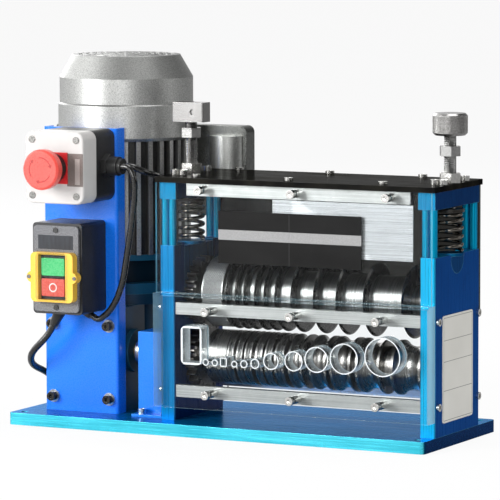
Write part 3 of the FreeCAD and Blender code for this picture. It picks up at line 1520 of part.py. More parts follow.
def make_capacitor():
    """The capacitor's housing on the motor's right side, with a lid that bulges over the can."""
    housing = Solid(CAPACITOR_X, CAPACITOR_Y, CAPACITOR_Z)
    housing.pad(housing.rectangle("XZ", "-capacitor_start / 2", "0",
                                  "capacitor_width + capacitor_start / 2", "capacitor_height"),
                "capacitor_depth", True)

    def right_corner(edge):
        return along("y")(edge) and edge.BoundBox.XMin > size("capacitor_width") - 1

    housing.round("capacitor_corner", right_corner)
    saddle = rod("z", MOTOR_X, MOTOR_Y, CAPACITOR_Z, "fin_diameter + 2 * screw_clearance",
                 "capacitor_height")
    bell = rod("z", MOTOR_X, MOTOR_Y, f"{BELL_Z} - screw_clearance", "bell_diameter + 2 * screw_clearance",
               "bell_height")
    keep("capacitor_box", cut(housing.body, saddle, bell))

    middle = f"{CAPACITOR_X} + capacitor_bulge_shift"
    bottom = f"{CAPACITOR_Z} + capacitor_bulge_margin"
    height = "capacitor_height - 2 * capacitor_bulge_margin"
    can = rod("z", middle, f"{CAPACITOR_Y} - capacitor_bulge_reach + capacitor_bulge", bottom,
              "2 * capacitor_bulge", height)
    front = box(f"{middle} - capacitor_bulge", f"{CAPACITOR_Y} - capacitor_bulge", bottom,
                "2 * capacitor_bulge", "capacitor_bulge", height)
    keep("capacitor_cover", common(can, front))


def make_estop():
    """The emergency stop box: black base, white cover, collar and mushroom."""
    left = f"{ESTOP_CENTRE} - estop_width / 2"
    bottom = "base_thickness + estop_rise"

    def shell(label, y, depth, hollow, hollow_offset, reverse):
        piece = Solid(left, y, bottom)
        piece.pad(piece.rectangle("XZ", "0", "0", "estop_width", "estop_height"), depth)
        piece.round("estop_corner", along("y"))
        room = piece.rectangle("XZ", "estop_wall", "estop_wall", "estop_width - 2 * estop_wall",
                               "estop_height - 2 * estop_wall", hollow_offset)
        piece.pocket(room, hollow, reverse)
        return piece

    base = shell("estop_base", BRACKET_FRONT, "estop_base_depth", "estop_base_depth - estop_wall",
                 "estop_base_depth", False)
    keep("estop_base", base.body)
    cover = shell("estop_cover", ESTOP_SEAM, "estop_cover_depth", "estop_cover_depth - estop_wall", "0", True)
    cover.round("estop_cover_fillet", at_level("y", "-estop_cover_depth"))
    centre = (("estop_width / 2", "estop_height / 2"),)
    cover.pocket(cover.circles("XZ", centre, "plunger_diameter + 2 * estop_hole_gap"))
    keep("estop_cover", cover.body)

    legend = box(f"{ESTOP_CENTRE} - legend_size / 2", f"{ESTOP_FACE} - legend_thickness",
                 f"{ESTOP_Z} - legend_size / 2", "legend_size", "legend_thickness", "legend_size")
    bore = "plunger_diameter + 2 * running_clearance"
    hole = rod("y", ESTOP_CENTRE, f"{ESTOP_FACE} - legend_thickness", ESTOP_Z, bore, "legend_thickness")
    keep("estop_legend", cut(legend, hole))
    collar_y = f"{ESTOP_FACE} - legend_thickness - collar_length"
    collar = rod("y", ESTOP_CENTRE, collar_y, ESTOP_Z, "collar_diameter", "collar_length")
    keep("estop_collar", cut(collar, rod("y", ESTOP_CENTRE, collar_y, ESTOP_Z, bore, "collar_length")))

    head_front = f"{ESTOP_FACE} - mushroom_reach"
    cup_bottom = f"{head_front} + mushroom_length - mushroom_cup_depth"
    stem = "plunger_diameter"
    plunger = rod("y", ESTOP_CENTRE, f"{cup_bottom} + running_clearance", ESTOP_Z, stem, "plunger_length")
    keep("estop_plunger", plunger)
    head = Solid(ESTOP_CENTRE, head_front, ESTOP_Z)
    head.body.Placement = Placement(Vector(), AXES["y"])
    outline = (
        ("0", "0"),
        ("mushroom_face_diameter / 2", "0"),
        ("mushroom_diameter / 2", "mushroom_edge"),
        ("mushroom_diameter / 2", "mushroom_length - 2 * mushroom_edge"),
        ("mushroom_diameter / 2 - mushroom_edge", "mushroom_length"),
        ("mushroom_cup_diameter / 2", "mushroom_length"),
        ("mushroom_cup_diameter / 2", "mushroom_length - mushroom_cup_depth"),
        ("0", "mushroom_length - mushroom_cup_depth"),
    )
    keep("estop_button", head.revolve(head.polygon("XZ", outline)).body)


def entry_direction(lean):
    """Down and to the left for a positive lean, in degrees."""
    return f"(-sin({lean}))", "0", f"(-cos({lean}))"


def entry_end(face, lean, length):
    """The middle of an entry's outer end, in millimetres."""
    return Vector(*(size(f"{start} + {length} * {step}") for start, step in zip(face, entry_direction(lean))))


def leaning_entry(face, lean, root, length, diameter, tip):
    """A tapered sleeve that leans out of the switch box's underside and is flush with it."""
    sleeve = doc.addObject("Part::Cone", "sleeve")
    sleeve.Placement = Placement(Vector(), Rotation(Vector(0, 1, 0), 180 + size(lean)))
    sleeve.setExpression("Radius1", formula(f"{diameter} / 2"))
    sleeve.setExpression("Radius2", formula(f"{tip} / 2"))
    sleeve.setExpression("Height", formula(f"{root} + {length}"))
    set_place(sleeve, *(f"{start} - {root} * {step}" for start, step in zip(face, entry_direction(lean))))
    x, y, z = face
    above = box(f"{x} - 2 * {diameter}", f"{y} - {diameter}", z, f"4 * {diameter}", f"2 * {diameter}",
                f"2 * {diameter}")
    return cut(sleeve, above)


def make_glands():
    """Cable gland and blind plug of the stop box, the switch's entries and the motor's entry."""
    right = f"{ESTOP_CENTRE} + estop_width / 2"
    left = f"{ESTOP_CENTRE} - estop_width / 2"
    gland = fuse(
        hexagon("x", right, GLAND_Y, ESTOP_Z, "gland_diameter", "gland_nut_length"),
        rod("x", right, GLAND_Y, ESTOP_Z, "gland_diameter - 2", "gland_length - gland_step"),
        rod("x", right, GLAND_Y, ESTOP_Z, "2 * lead_diameter + 3", "gland_length"),
    )
    plug = fuse(
        rod("x", f"{left} - plug_length + plug_taper", GLAND_Y, ESTOP_Z, "gland_diameter",
            "plug_length - plug_taper"),
        cone("x", f"{left} - plug_length", GLAND_Y, ESTOP_Z, "plug_tip_diameter", "gland_diameter",
             "plug_taper"),
    )
    relief = leaning_entry(RELIEF_FACE, "relief_lean", "relief_root", "relief_length", "relief_diameter",
                           "relief_tip")
    control = leaning_entry(CONTROL_FACE, "(-control_entry_lean)", "control_entry_root", "entry_length",
                            "control_entry_diameter", "control_entry_tip")
    motor = rod("y", *MOTOR_ENTRY, "entry_diameter", "entry_length")
    keep("cable_glands", group(gland, plug, relief, control, motor))


def make_switch():
    """The main switch: black box, grey face, yellow bezel, clear window and module."""
    left = f"{SWITCH_CENTRE} - switch_width / 2"
    housing = Solid(left, BRACKET_FRONT, SWITCH_Z)
    housing.pad(housing.rectangle("XZ", "0", "0", "switch_width", "switch_height"), "switch_depth")
    housing.round("switch_corner", along("y"))
    room = housing.rectangle("XZ", "switch_wall", "switch_wall", "switch_width - 2 * switch_wall",
                             "switch_height - 2 * switch_wall", "switch_depth")
    housing.pocket(room, "switch_depth - switch_wall")
    opening_x = f"{SWITCH_CENTRE} - bezel_opening_width / 2"
    opening_z = f"{BUTTON_Z} - bezel_opening_height / 2"
    face = Solid(f"{left} + face_margin", SWITCH_FRONT, f"{SWITCH_Z} + face_margin")
    face.pad(face.rectangle("XZ", "0", "0", "switch_width - 2 * face_margin",
                            "switch_height - 2 * face_margin"), "face_thickness")
    face.round("switch_corner", along("y"))
    face.pocket(face.rectangle("XZ", f"{opening_x} - ({left}) - face_margin",
                               f"{opening_z} - ({SWITCH_Z}) - face_margin", "bezel_opening_width",
                               "bezel_opening_height"))
    keep("switch_face", face.body)

    bezel = Solid(f"{SWITCH_CENTRE} - bezel_width / 2", FACE_FRONT, BEZEL_Z)
    bezel.pad(bezel.rectangle("XZ", "0", "0", "bezel_width", "bezel_height"), "bezel_depth")
    bezel.round("bezel_corner", along("y"))
    bezel.pocket(bezel.rectangle("XZ", "(bezel_width - bezel_opening_width) / 2",
                                 "(bezel_height - bezel_opening_height) / 2", "bezel_opening_width",
                                 "bezel_opening_height"))
    lugs = [
        rod("y", f"{SWITCH_CENTRE} + {side} * (bezel_width / 2 - 1)", BEZEL_FRONT, BUTTON_Z,
            "2 * bezel_lug", "bezel_depth")
        for side in (-1, 1)
    ]
    bores = box(opening_x, BEZEL_FRONT, opening_z, "bezel_opening_width", "bezel_depth",
                "bezel_opening_height")
    keep("switch_bezel", cut(fuse(bezel.body, *lugs), bores))

    module_front = f"{FACE_FRONT} - module_proud"
    module = box(f"{opening_x} + module_gap", module_front, f"{opening_z} + module_gap",
                 "bezel_opening_width - 2 * module_gap", "module_depth",
                 "bezel_opening_height - 2 * module_gap")
    wells = []
    button_back = f"{BEZEL_FRONT} + button_sink + button_length"
    for label, side in (("start_button", 1), ("stop_button", -1)):
        z = f"{BUTTON_Z} + {side} * button_spread / 2 - button_height / 2"
        x = f"{SWITCH_CENTRE} - button_width / 2"
        wells.append(box(f"{x} - button_gap", module_front, f"{z} - button_gap",
                         "button_width + 2 * button_gap",
                         f"{button_back} + button_travel + button_gap - ({module_front})",
                         "button_height + 2 * button_gap"))
        button = Solid(x, button_back, z)
        button.pad(button.rectangle("XZ", "0", "0", "button_width", "button_height"), "button_length")
        keep(label, button.round("button_corner", along("y")).body)
    keep("switch_box", group(housing.body, cut(module, *wells)))

    window = Solid(f"{opening_x} - window_margin", BEZEL_FRONT, f"{opening_z} - window_margin")
    window.pad(window.rectangle("XZ", "0", "0", "bezel_opening_width + 2 * window_margin",
                                "bezel_opening_height + 2 * window_margin"), "window_thickness")
    keep("switch_window", window.round("bezel_corner", along("y")).body)


def make_control_screws():
    """Screws of the stop box's cover, the switch's face and its bezel."""
    screws = []
    for across in (-1, 1):
        for up in (-1, 1):
            x = f"{ESTOP_CENTRE} + {across} * (estop_width / 2 - estop_screw_inset)"
            z = f"{ESTOP_Z} + {up} * (estop_height / 2 - estop_screw_inset)"
            screws.append(rod("y", x, f"{ESTOP_FACE} - lug_screw_height", z, "estop_screw_head",
                              "lug_screw_height"))
    for z in (f"{SWITCH_Z} + face_screw_inset", f"{SWITCH_Z} + switch_height - face_screw_inset"):
        screws.append(rod("y", SWITCH_CENTRE, f"{FACE_FRONT} - face_screw_height", z, "face_screw_head",
                          "face_screw_height"))
    for side in (-1, 1):
        x = f"{SWITCH_CENTRE} + {side} * (bezel_width / 2 + bezel_lug - lug_screw_inset)"
        screws.append(rod("y", x, f"{BEZEL_FRONT} - lug_screw_height", BUTTON_Z, "lug_screw_head",
                          "lug_screw_height"))
    keep("control_screws", group(*screws))


def make_leads():
    """Leads held by the machine: stop box to switch, and stop box to motor."""
    diameter = size("lead_diameter")
    gland = Vector(size(GLAND_END), size(GLAND_Y), size(ESTOP_Z))
    split = diameter / 2 + 0.3
    entry = entry_end(CONTROL_FACE, "(-control_entry_lean)", "entry_length")
    lean = math.radians(size("control_entry_lean"))
    last = entry + Vector(math.sin(lean), 0, -math.cos(lean)) * 10
    control = [
        (0, -split, 0),
        (8.5, -split, 0),
        (14.2, -3, -12),
        (13.5, -2, -33),
        (9.5, -1.5, -60),
        (4, -0.9, -89),
        (-0.5, -0.5, -114),
        (-8, -0.1, -133),
        (-16.5, 0.3, -145.5),
    ]
    control = [gland + Vector(*step) for step in control] + [last, entry]
    entry = Vector(*(size(part) for part in MOTOR_ENTRY))
    motor = [
        gland + Vector(0, split, 0),
        gland + Vector(8, split, 0),
        gland + Vector(17, 10, -5),
        gland + Vector(21, 25, -9.5),
        entry + Vector(-2.5, -74, 9.5),
        entry + Vector(-1, -51, 4),
        entry + Vector(-0.4, -30, 1),
        entry + Vector(0, -12, 0),
        entry,
    ]
    tubes = [lead("control lead", control, diameter), lead("motor lead", motor, diameter)]
    keep("control_leads", group(*(feature(tube) for tube in tubes)))


def make_mains_cord():
    """The mains cord: from the switch round the bracket to the floor, a coil and the plug."""
    diameter = size("mains_diameter")
    floor = diameter / 2 + size("floor_gap")
    radius = size("coil_radius")
    coil_start = Vector(size("coil_x") - radius, size("coil_y"), floor)
    outlet = entry_end(RELIEF_FACE, "relief_lean", "relief_length")
    lean = math.radians(size("relief_lean"))
    run = [
        outlet,
        outlet + Vector(-math.sin(lean), 0, -math.cos(lean)) * 8,
        Vector(-192.5, -74, 88.5),
        Vector(-198.5, -74.5, 82.5),
        Vector(-205.5, -73, 76.5),
        Vector(-211.5, -69.5, 70.5),
        Vector(-216, -63.5, 64),
        Vector(-218.2, -56, 58.5),
        Vector(-218.4, -47.5, 54.3),
        Vector(-218.3, -37.5, 50.8),
        Vector(-218.1, -27, 46.4),
        Vector(-217.8, -16, 40.5),
        Vector(-217.3, -5, 33),
        Vector(-217.5, 10, 22.5),
        Vector(-218, 27, 16.6),
        Vector(-217.8, 46, 16),
        Vector(-216.6, 64, 16.4),
        Vector(-214.2, 80.5, 17.2),
        Vector(-213, 96, 13),
        Vector(-212.6, 113, 6.6),
        coil_start + Vector(0, -16, 0),
        coil_start,
    ]
    keep("mains_cord", feature(lead("mains cord", run, diameter)))
    make_mains_coil(coil_start, diameter, radius)


def make_mains_coil(start, diameter, radius):
    """The spare cord in two flat layers, inwards on the floor and outwards above, and its plug."""
    pitch = size("coil_pitch")
    inward = 2 * int(size("coil_inward_turns"))
    place = start
    heading = Vector(0, 1, 0)
    edges = []
    for half in range(2 * inward):
        side = heading.y
        layer = min(half, 2 * inward - half)
        climb = pitch if half == inward else 0
        end = place + Vector(side * (2 * radius - layer * pitch), 0, climb)
        edges += biarc(place, heading, end, heading * -1)
        place = end
        heading = heading * -1
    end = place + heading * size("coil_end")
    edges.append(Part.LineSegment(place, end).toShape())
    samples = [point for edge in edges for point in edge.discretize(17)[:-1]]
    print("mains coil length", round(sum(edge.Length for edge in edges), 1),
          "self gap", round(least_gap(samples, diameter, 24), 2))
    keep("mains_coil", feature(sweep(edges, diameter)))

    neck = size("plug_neck_length")
    body = size("plug_body_length")
    bulk_radius = size("plug_body_diameter") / 2
    first = end + heading * neck
    shell = Part.makeCone(diameter / 2 + 1, size("plug_neck_diameter") / 2, neck, end, heading)
    bulk = Part.makeCylinder(bulk_radius, body, first, heading)
    slab = Part.makeBox(2 * bulk_radius, body, 2 * end.z, Vector(first.x - bulk_radius, first.y, 0))
    pins = [
        Part.makeCylinder(size("plug_pin_diameter") / 2, size("plug_pin_length") + size("plug_pin_root"),
                          first + Vector(shift * size("plug_pin_spread") / 2, body - size("plug_pin_root"), 0),
                          heading)
        for shift in (-1, 1)
    ]
    keep("mains_plug", feature(shell.multiFuse([bulk.common(slab)] + pins)))


def check_and_export():
    doc.recompute()
    faults = []
    for piece in doc.Objects:
        if "Invalid" in piece.State or "Error" in piece.State:
            faults.append((piece.Name, piece.Label, piece.State))
    for piece in SUBPARTS:
        if piece.Shape.isNull() or not piece.Shape.isValid() or not piece.Shape.Solids:
            faults.append((piece.Name, piece.Label, "bad shape"))
    if faults:
        raise RuntimeError(faults)
    for piece in SUBPARTS:
        piece.Shape.exportStep("parts/%s.step" % piece.Label)
    print(len(SUBPARTS), "sub-parts")


make_base()
make_frame()
make_top_plate()
make_crossbars()
make_upper_guards()
make_lower_guard()
make_cable_guides()
make_panels()
make_frame_screws()
make_guard_screws()
make_lower_bearings()
make_lower_roller()
make_upper_roller()
make_carriages()
make_adjusters()
make_bracket()
make_gearbox()
make_coupling_cover()
make_motor()
make_cowl()
make_rotor()
make_capacitor()
make_estop()
make_glands()
make_switch()
make_control_screws()
make_leads()
make_mains_cord()
check_and_export()
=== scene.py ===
import math

import bpy
from mathutils import Matrix, Vector
from mathutils.bvhtree import BVHTree


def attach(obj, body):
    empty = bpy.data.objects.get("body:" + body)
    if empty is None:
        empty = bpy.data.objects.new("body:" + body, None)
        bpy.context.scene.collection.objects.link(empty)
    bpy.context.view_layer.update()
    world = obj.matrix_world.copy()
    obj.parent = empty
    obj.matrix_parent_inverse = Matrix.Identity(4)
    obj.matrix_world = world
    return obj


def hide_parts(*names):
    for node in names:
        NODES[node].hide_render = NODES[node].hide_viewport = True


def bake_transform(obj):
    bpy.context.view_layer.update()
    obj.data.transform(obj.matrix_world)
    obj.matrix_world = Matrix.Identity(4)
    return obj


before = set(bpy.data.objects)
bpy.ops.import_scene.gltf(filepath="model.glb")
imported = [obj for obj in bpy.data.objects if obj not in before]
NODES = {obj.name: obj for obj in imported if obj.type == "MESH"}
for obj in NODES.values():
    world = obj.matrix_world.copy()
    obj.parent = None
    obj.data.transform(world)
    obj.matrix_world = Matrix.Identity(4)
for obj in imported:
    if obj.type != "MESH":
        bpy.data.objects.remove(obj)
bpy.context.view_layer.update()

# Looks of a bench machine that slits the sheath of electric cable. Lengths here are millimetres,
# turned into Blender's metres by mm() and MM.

MM = 0.001


def mm(*point):
    return Vector(point) * MM


# Node trees

# numbers of a colour mix's sockets
MIX_SHARE = 0
MIX_FIRST = 6
MIX_SECOND = 7
MIX_RESULT = 2

# half the blur at a painted band's edge, in millimetres
BAND_BLUR = 0.05
# cosine between the rounded and the flat normal, from where wear begins to where it is full
WORN_EDGE = (0.99, 0.8)


class Nodes:
    """Adds nodes to a tree. An input is a colour, a number or another node's output."""

    def __init__(self, tree):
        self.tree = tree

    def feed(self, socket, value):
        if isinstance(value, bpy.types.NodeSocket):
            self.tree.links.new(value, socket)
        elif isinstance(value, (tuple, list)) and len(value) == 3 and socket.type == "RGBA":
            socket.default_value = (*value, 1)
        else:
            socket.default_value = value

    def node(self, kind, inputs=(), **settings):
        made = self.tree.nodes.new("ShaderNode" + kind)
        for key, value in settings.items():
            setattr(made, key, value)
        for key, value in dict(inputs).items():
            self.feed(made.inputs[key], value)
        return made

    def calc(self, operation, first, second=0.0, clamp=False):
        settings = {"operation": operation, "use_clamp": clamp}
        return self.node("Math", {0: first, 1: second}, **settings).outputs[0]

    def spread(self, value, start, end, low=0.0, high=1.0, **settings):
        """Maps start..end to low..high, clamped."""
        inputs = {"Value": value, "From Min": start, "From Max": end, "To Min": low, "To Max": high}
        return self.node("MapRange", inputs, **settings).outputs["Result"]

    def weigh(self, first, weight, second, other_weight):
        """The sum of two values, each times its weight."""
        return self.calc("ADD", self.calc("MULTIPLY", first, weight),
                         self.calc("MULTIPLY", second, other_weight))

    def mix(self, share, first, second):
        """Goes from the first colour to the second by share."""
        inputs = {MIX_SHARE: share, MIX_FIRST: first, MIX_SECOND: second}
        return self.node("Mix", inputs, data_type="RGBA").outputs[MIX_RESULT]

    def layer(self, share, under, over):
        """Goes from one shader to another by share."""
        return self.node("MixShader", {0: share, 1: under, 2: over}).outputs[0]

    def axes(self, vector):
        return self.node("SeparateXYZ", {0: vector}).outputs

    def rays(self, first, *others):
        """1 for rays of the named kinds."""
        path = self.node("LightPath").outputs
        total = path[first]
        for name in others:
            total = self.calc("MAXIMUM", total, path[name])
        return total


class Finish(Nodes):
    """A material built up round one Principled shader."""

    TITLES = {
        "color": "Base Color",
        "metallic": "Metallic",
        "roughness": "Roughness",
        "specular": "Specular IOR Level",
        "tint": "Specular Tint",
        "coat": "Coat Weight",
        "coat_roughness": "Coat Roughness",
        "normal": "Normal",
    }

    def __init__(self, name, **inputs):
        self.material = bpy.data.materials.new(name)
        self.material.use_nodes = True
        super().__init__(self.material.node_tree)
        self.shader = self.tree.nodes["Principled BSDF"]
        self.end = self.tree.nodes["Material Output"].inputs["Surface"]
        self.place = self.node("TexCoord").outputs["Object"]
        self.set(**inputs)

    def set(self, **inputs):
        """Sets the shader's inputs, by the short names in TITLES."""
        for key, value in inputs.items():
            self.feed(self.shader.inputs[self.TITLES[key]], value)

    def spots(self, stretch, detail=2.0, roughness=0.5):
        """Noise with about that many spots to the metre, on all axes or on each."""
        if not isinstance(stretch, tuple):
            stretch = (stretch, stretch, stretch)
        scaled = self.node("Mapping", {"Vector": self.place, "Scale": stretch}).outputs[0]
        inputs = {"Vector": scaled, "Scale": 1.0, "Detail": detail, "Roughness": roughness}
        return self.node("TexNoise", inputs).outputs[0]

    def bump(self, height, depth, base=None):
        inputs = {"Height": height, "Distance": depth * MM, "Strength": 1.0}
        if base is not None:
            inputs["Normal"] = base
        return self.node("Bump", inputs).outputs[0]

    def soft_edge(self, radius):
        return self.node("Bevel", {"Radius": radius * MM}, samples=4).outputs[0]

    def edge_mask(self, soft):
        """1 on sharp edges, which lose their paint first."""
        flat = self.node("NewGeometry").outputs["True Normal"]
        dot = self.node("VectorMath", {0: soft, 1: flat}, operation="DOT_PRODUCT").outputs["Value"]
        return self.spread(dot, *WORN_EDGE)

    def facing(self, axis):
        """How far the surface faces along the machine's own axis: 0 for x, 1 for y, 2 for z."""
        return self.axes(self.node("TexCoord").outputs["Normal"])[axis]

    def between(self, value, low, high):
        """1 where value is from low to high, in millimetres."""
        rise = self.spread(value, (low - BAND_BLUR) * MM, (low + BAND_BLUR) * MM)
        fall = self.spread(value, (high - BAND_BLUR) * MM, (high + BAND_BLUR) * MM)
        return self.calc("SUBTRACT", rise, fall, clamp=True)


# Camera, floor and light

CAMERA_PLACE = mm(1767.7, -3443.2, 572.5)
CAMERA_AIM = mm(4.6, -8, 179.6)
CAMERA_ROLL = math.radians(-0.17)
CAMERA_LENS = 281.4
SENSOR = 36

FLOOR_SIZE = 60
FLOOR_DROP = -0.0003
FLOOR_COLOR = (0.86, 0.86, 0.86)
FLOOR_ROUGHNESS = 0.9
FLOOR_SPECULAR = 0.1
VIEW_RAYS = ("Is Camera Ray", "Is Transmission Ray")
MIRROR_RAYS = ("Is Glossy Ray",)
# the floor's own light: which rays see it, its share of the paper's look there, brightness
FLOOR_LIGHTS = ((VIEW_RAYS, 0.92, 1.0), (MIRROR_RAYS, 0.6, 0.3))

BACKDROP = (1, 1, 1)
AMBIENT = (0.32, 0.32, 0.3264)
# What metal reflects of the room: axis of the direction, from, to, brightness added at either end
STUDIO_SLOPES = (
    (0, 0.45, -0.35, 0.02, 0.35),
    (0, -0.25, -0.8, 0.0, 1.4),
    (2, 0.2, 0.9, 0.0, 0.1),
    (1, 0.2, 1.0, 0.0, 0.1),
)
LAMP_AIM = (0, 0, 150)
# name, place, width and height in metres, watts
LAMPS = (
    ("key", (-1500, -2350, 1050), 1.3, 1.3, 84),
    ("front", (900, -2600, 900), 1.4, 0.8, 20),
    ("top", (200, 300, 2300), 1.6, 1.2, 24),
    ("back", (-1900, 1700, 1400), 1.2, 1.2, 26),
    ("side", (2400, 900, 1100), 1.2, 1.2, 8),
)


def add_camera():
    """A long lens from the front right, a little above the machine."""
    data = bpy.data.cameras.new("camera")
    data.sensor_width = SENSOR
    data.lens = CAMERA_LENS
    camera = bpy.data.objects.new("camera", data)
    bpy.context.scene.collection.objects.link(camera)
    turn = (CAMERA_AIM - CAMERA_PLACE).to_track_quat("-Z", "Y").to_matrix().to_4x4()
    roll = Matrix.Rotation(CAMERA_ROLL, 4, "Z")
    camera.matrix_world = Matrix.Translation(CAMERA_PLACE) @ turn @ roll
    bpy.context.scene.camera = camera


def add_world():
    """White behind the machine, a soft grey for light, and a studio for metal to reflect."""
    world = bpy.data.worlds.new("studio")
    world.use_nodes = True
    nodes = Nodes(world.node_tree)
    way = nodes.axes(nodes.node("TexCoord").outputs["Generated"])
    mirrored = 0.0
    for axis, start, end, low, high in STUDIO_SLOPES:
        mirrored = nodes.calc("ADD", mirrored, nodes.spread(way[axis], start, end, low, high,
                                                            interpolation_type="SMOOTHSTEP"))
    color = nodes.mix(nodes.rays(*MIRROR_RAYS), AMBIENT, mirrored)
    color = nodes.mix(nodes.rays(*VIEW_RAYS), color, BACKDROP)
    nodes.feed(world.node_tree.nodes["Background"].inputs["Color"], color)
    bpy.context.scene.world = world


def add_floor():
    """Pale paper: it glows for the camera, and is dimmer in what metal mirrors."""
    half = FLOOR_SIZE / 2
    mesh = bpy.data.meshes.new("floor")
    outline = ((-half, -half), (half, -half), (half, half), (-half, half))
    mesh.from_pydata([(x, y, FLOOR_DROP) for x, y in outline], [], [(0, 1, 2, 3)])
    paper = Finish("floor", color=FLOOR_COLOR, roughness=FLOOR_ROUGHNESS, specular=FLOOR_SPECULAR)
    surface = paper.shader.outputs[0]
    for rays, share, strength in FLOOR_LIGHTS:
        light = paper.node("Emission", {"Strength": strength}).outputs[0]
        surface = paper.layer(paper.calc("MULTIPLY", paper.rays(*rays), share), surface, light)
    paper.feed(paper.end, surface)
    mesh.materials.append(paper.material)
    floor = bpy.data.objects.new("floor", mesh)
    bpy.context.scene.collection.objects.link(floor)


def add_lamps():
    aim = mm(*LAMP_AIM)
    for name, place, width, height, watts in LAMPS:
        data = bpy.data.lights.new(name, "AREA")
        data.shape = "RECTANGLE"
        data.size = width
        data.size_y = height
        data.energy = watts
        lamp = bpy.data.objects.new(name, data)
        bpy.context.scene.collection.objects.link(lamp)
        lamp.location = mm(*place)
        lamp.rotation_euler = (aim - lamp.location).to_track_quat("-Z", "Y").to_euler()


# Materials

ROLLER_Y = -8
SPRING_X = {"left": -61, "right": 222}

ROD_RADIUS = 6
THREAD_PITCH = 1.75
THREAD_DEPTH = 0.4
ADJUSTER_HEADS = (297, 299)

WASHER_TOP_Y = -48.2
BLACK_SCREWS = ((100, 130), (190, 222))

MOTOR_AXIS = (-161, 40)
FIN_ROOT = 57
FIN_TIP = 64
FIN_SHADE = (0.012, 0.012, 0.012)
MOTOR_FOOT_TOP = 168.9
MOTOR_FOOT_EDGE = (0.03, 0.2, 0.3)
MOTOR_NECK = (139.2, 162.8)
MOTOR_NECK_SHADE = (0.002, 0.003, 0.004)
# colour of the painted shade on a casting's faces looking up
CAST_TOP_SHADE = (0.02, 0.02, 0.019)

FACE_WINDOW_X = (-186, -146)
FACE_WINDOW_Z = (181, 195)

SHEET_IOR = 1.49
SHEET_GLOSS = 0.04

LABEL_BAND = (195.2, 205.2)
LABEL_SEAM = (77.3, 77.7)

RULE_HEIGHTS = (126.3, 104.4, 83.8, 55.6, 26.7)
RULE_ENDS = (-41.2, 25.1)
RULE_HALF = 0.22
RATING_PLATE_X = (229.5, 229.9)


def anodised(name, front, side, top, roughness=0.3, grain=(1400, 1400, 9), edge=(0.35, 0.75, 0.95)):
    """Dyed and brushed aluminium, with painted light: forward faces take the lit front colour,
    upward faces the top colour, the rest the shaded side colour.
    """
    finish = Finish(name, metallic=0.62, tint=(0.1, 0.4, 0.7), specular=0.05)
    lines = finish.spots(grain, 3, 0.6)
    cloud = finish.spots(14, 3)
    soft = finish.soft_edge(0.5)
    worn = finish.edge_mask(soft)
    forward = finish.spread(finish.calc("ABSOLUTE", finish.facing(1)), 0.5, 0.8)
    upward = finish.spread(finish.calc("ABSOLUTE", finish.facing(2)), 0.5, 0.8)
    # Painted light and shade: lit fronts, shaded sides, tops in between.
    color = finish.mix(forward, side, front)
    color = finish.mix(upward, color, top)
    shade = {"Color": color, "Value": 0.72, "Saturation": 1.05}
    darker = finish.node("HueSaturation", shade).outputs[0]
    tone = finish.weigh(lines, 0.7, cloud, 0.6)
    color = finish.mix(finish.spread(tone, 0.45, 0.85), darker, color)
    color = finish.mix(finish.calc("MULTIPLY", worn, 0.55), color, edge)
    rough = finish.spread(lines, 0.3, 0.7, roughness - 0.07, roughness + 0.1)
    finish.set(color=color, roughness=rough, normal=finish.bump(lines, 0.012, soft))
    return finish.material


def painted(name, color, deep, edge, roughness=0.28, peel=0.03, coat=0.25):
    """Sprayed gloss paint with a slight orange peel and thin edges."""
    finish = Finish(name, specular=0.35, coat=coat, coat_roughness=0.08)
    peel_height = finish.spots(330, 2)
    cloud = finish.spots((9, 9, 6), 3)
    dust = finish.spots(900, 1)
    soft = finish.soft_edge(0.8)
    worn = finish.edge_mask(soft)
    tone = finish.mix(finish.spread(cloud, 0.35, 0.7), deep, color)
    tone = finish.mix(finish.calc("MULTIPLY", worn, 0.7), tone, edge)
    rough = finish.spread(dust, 0.4, 0.75, roughness - 0.04, roughness + 0.12)
    finish.set(color=tone, roughness=rough, normal=finish.bump(peel_height, peel, soft))
    return finish.material


def steel(name, bright, dark, roughness, grain, depth=0.01, cloud_share=0.5, edge=None, radius=0.3):
    """Machined metal: fine tool lines along the short way of grain, with clouds of tarnish."""
    finish = Finish(name, metallic=1.0)
    lines = finish.spots(grain, 3, 0.6)
    cloud = finish.spots(45, 4, 0.6)
    soft = finish.soft_edge(radius)
    tone = finish.weigh(lines, 1 - cloud_share, cloud, cloud_share)
    color = finish.mix(finish.spread(tone, 0.35, 0.65), dark, bright)
    if edge:
        color = finish.mix(finish.edge_mask(soft), color, edge)
    rough = finish.spread(tone, 0.3, 0.7, roughness + 0.1, roughness - 0.05)
    finish.set(color=color, roughness=rough, normal=finish.bump(lines, depth, soft))
    return finish.material


def paint_foot(finish, tone, soft, paint):
    """Shade between the motor's fins, and the gearbox's paint below MOTOR_FOOT_TOP."""
    x, y, z = finish.axes(finish.place)
    across = finish.calc("SUBTRACT", x, MOTOR_AXIS[0] * MM)
    along = finish.calc("SUBTRACT", y, MOTOR_AXIS[1] * MM)
    reach = finish.calc("SQRT", finish.weigh(across, across, along, along))
    root = finish.spread(reach, FIN_TIP * MM, FIN_ROOT * MM, 0.0, 0.9)
    tone = finish.mix(root, tone, FIN_SHADE)
    low = finish.spread(z, (MOTOR_FOOT_TOP + 0.1) * MM, (MOTOR_FOOT_TOP - 0.1) * MM)
    paint = finish.mix(finish.edge_mask(soft), paint, MOTOR_FOOT_EDGE)
    neck = finish.calc("MULTIPLY", finish.between(z, *MOTOR_NECK), 0.85)
    paint = finish.mix(neck, paint, MOTOR_NECK_SHADE)
    finish.set(specular=0.12, metallic=finish.spread(low, 0.0, 1.0, 0.9, 0.1))
    return finish.mix(low, tone, paint)


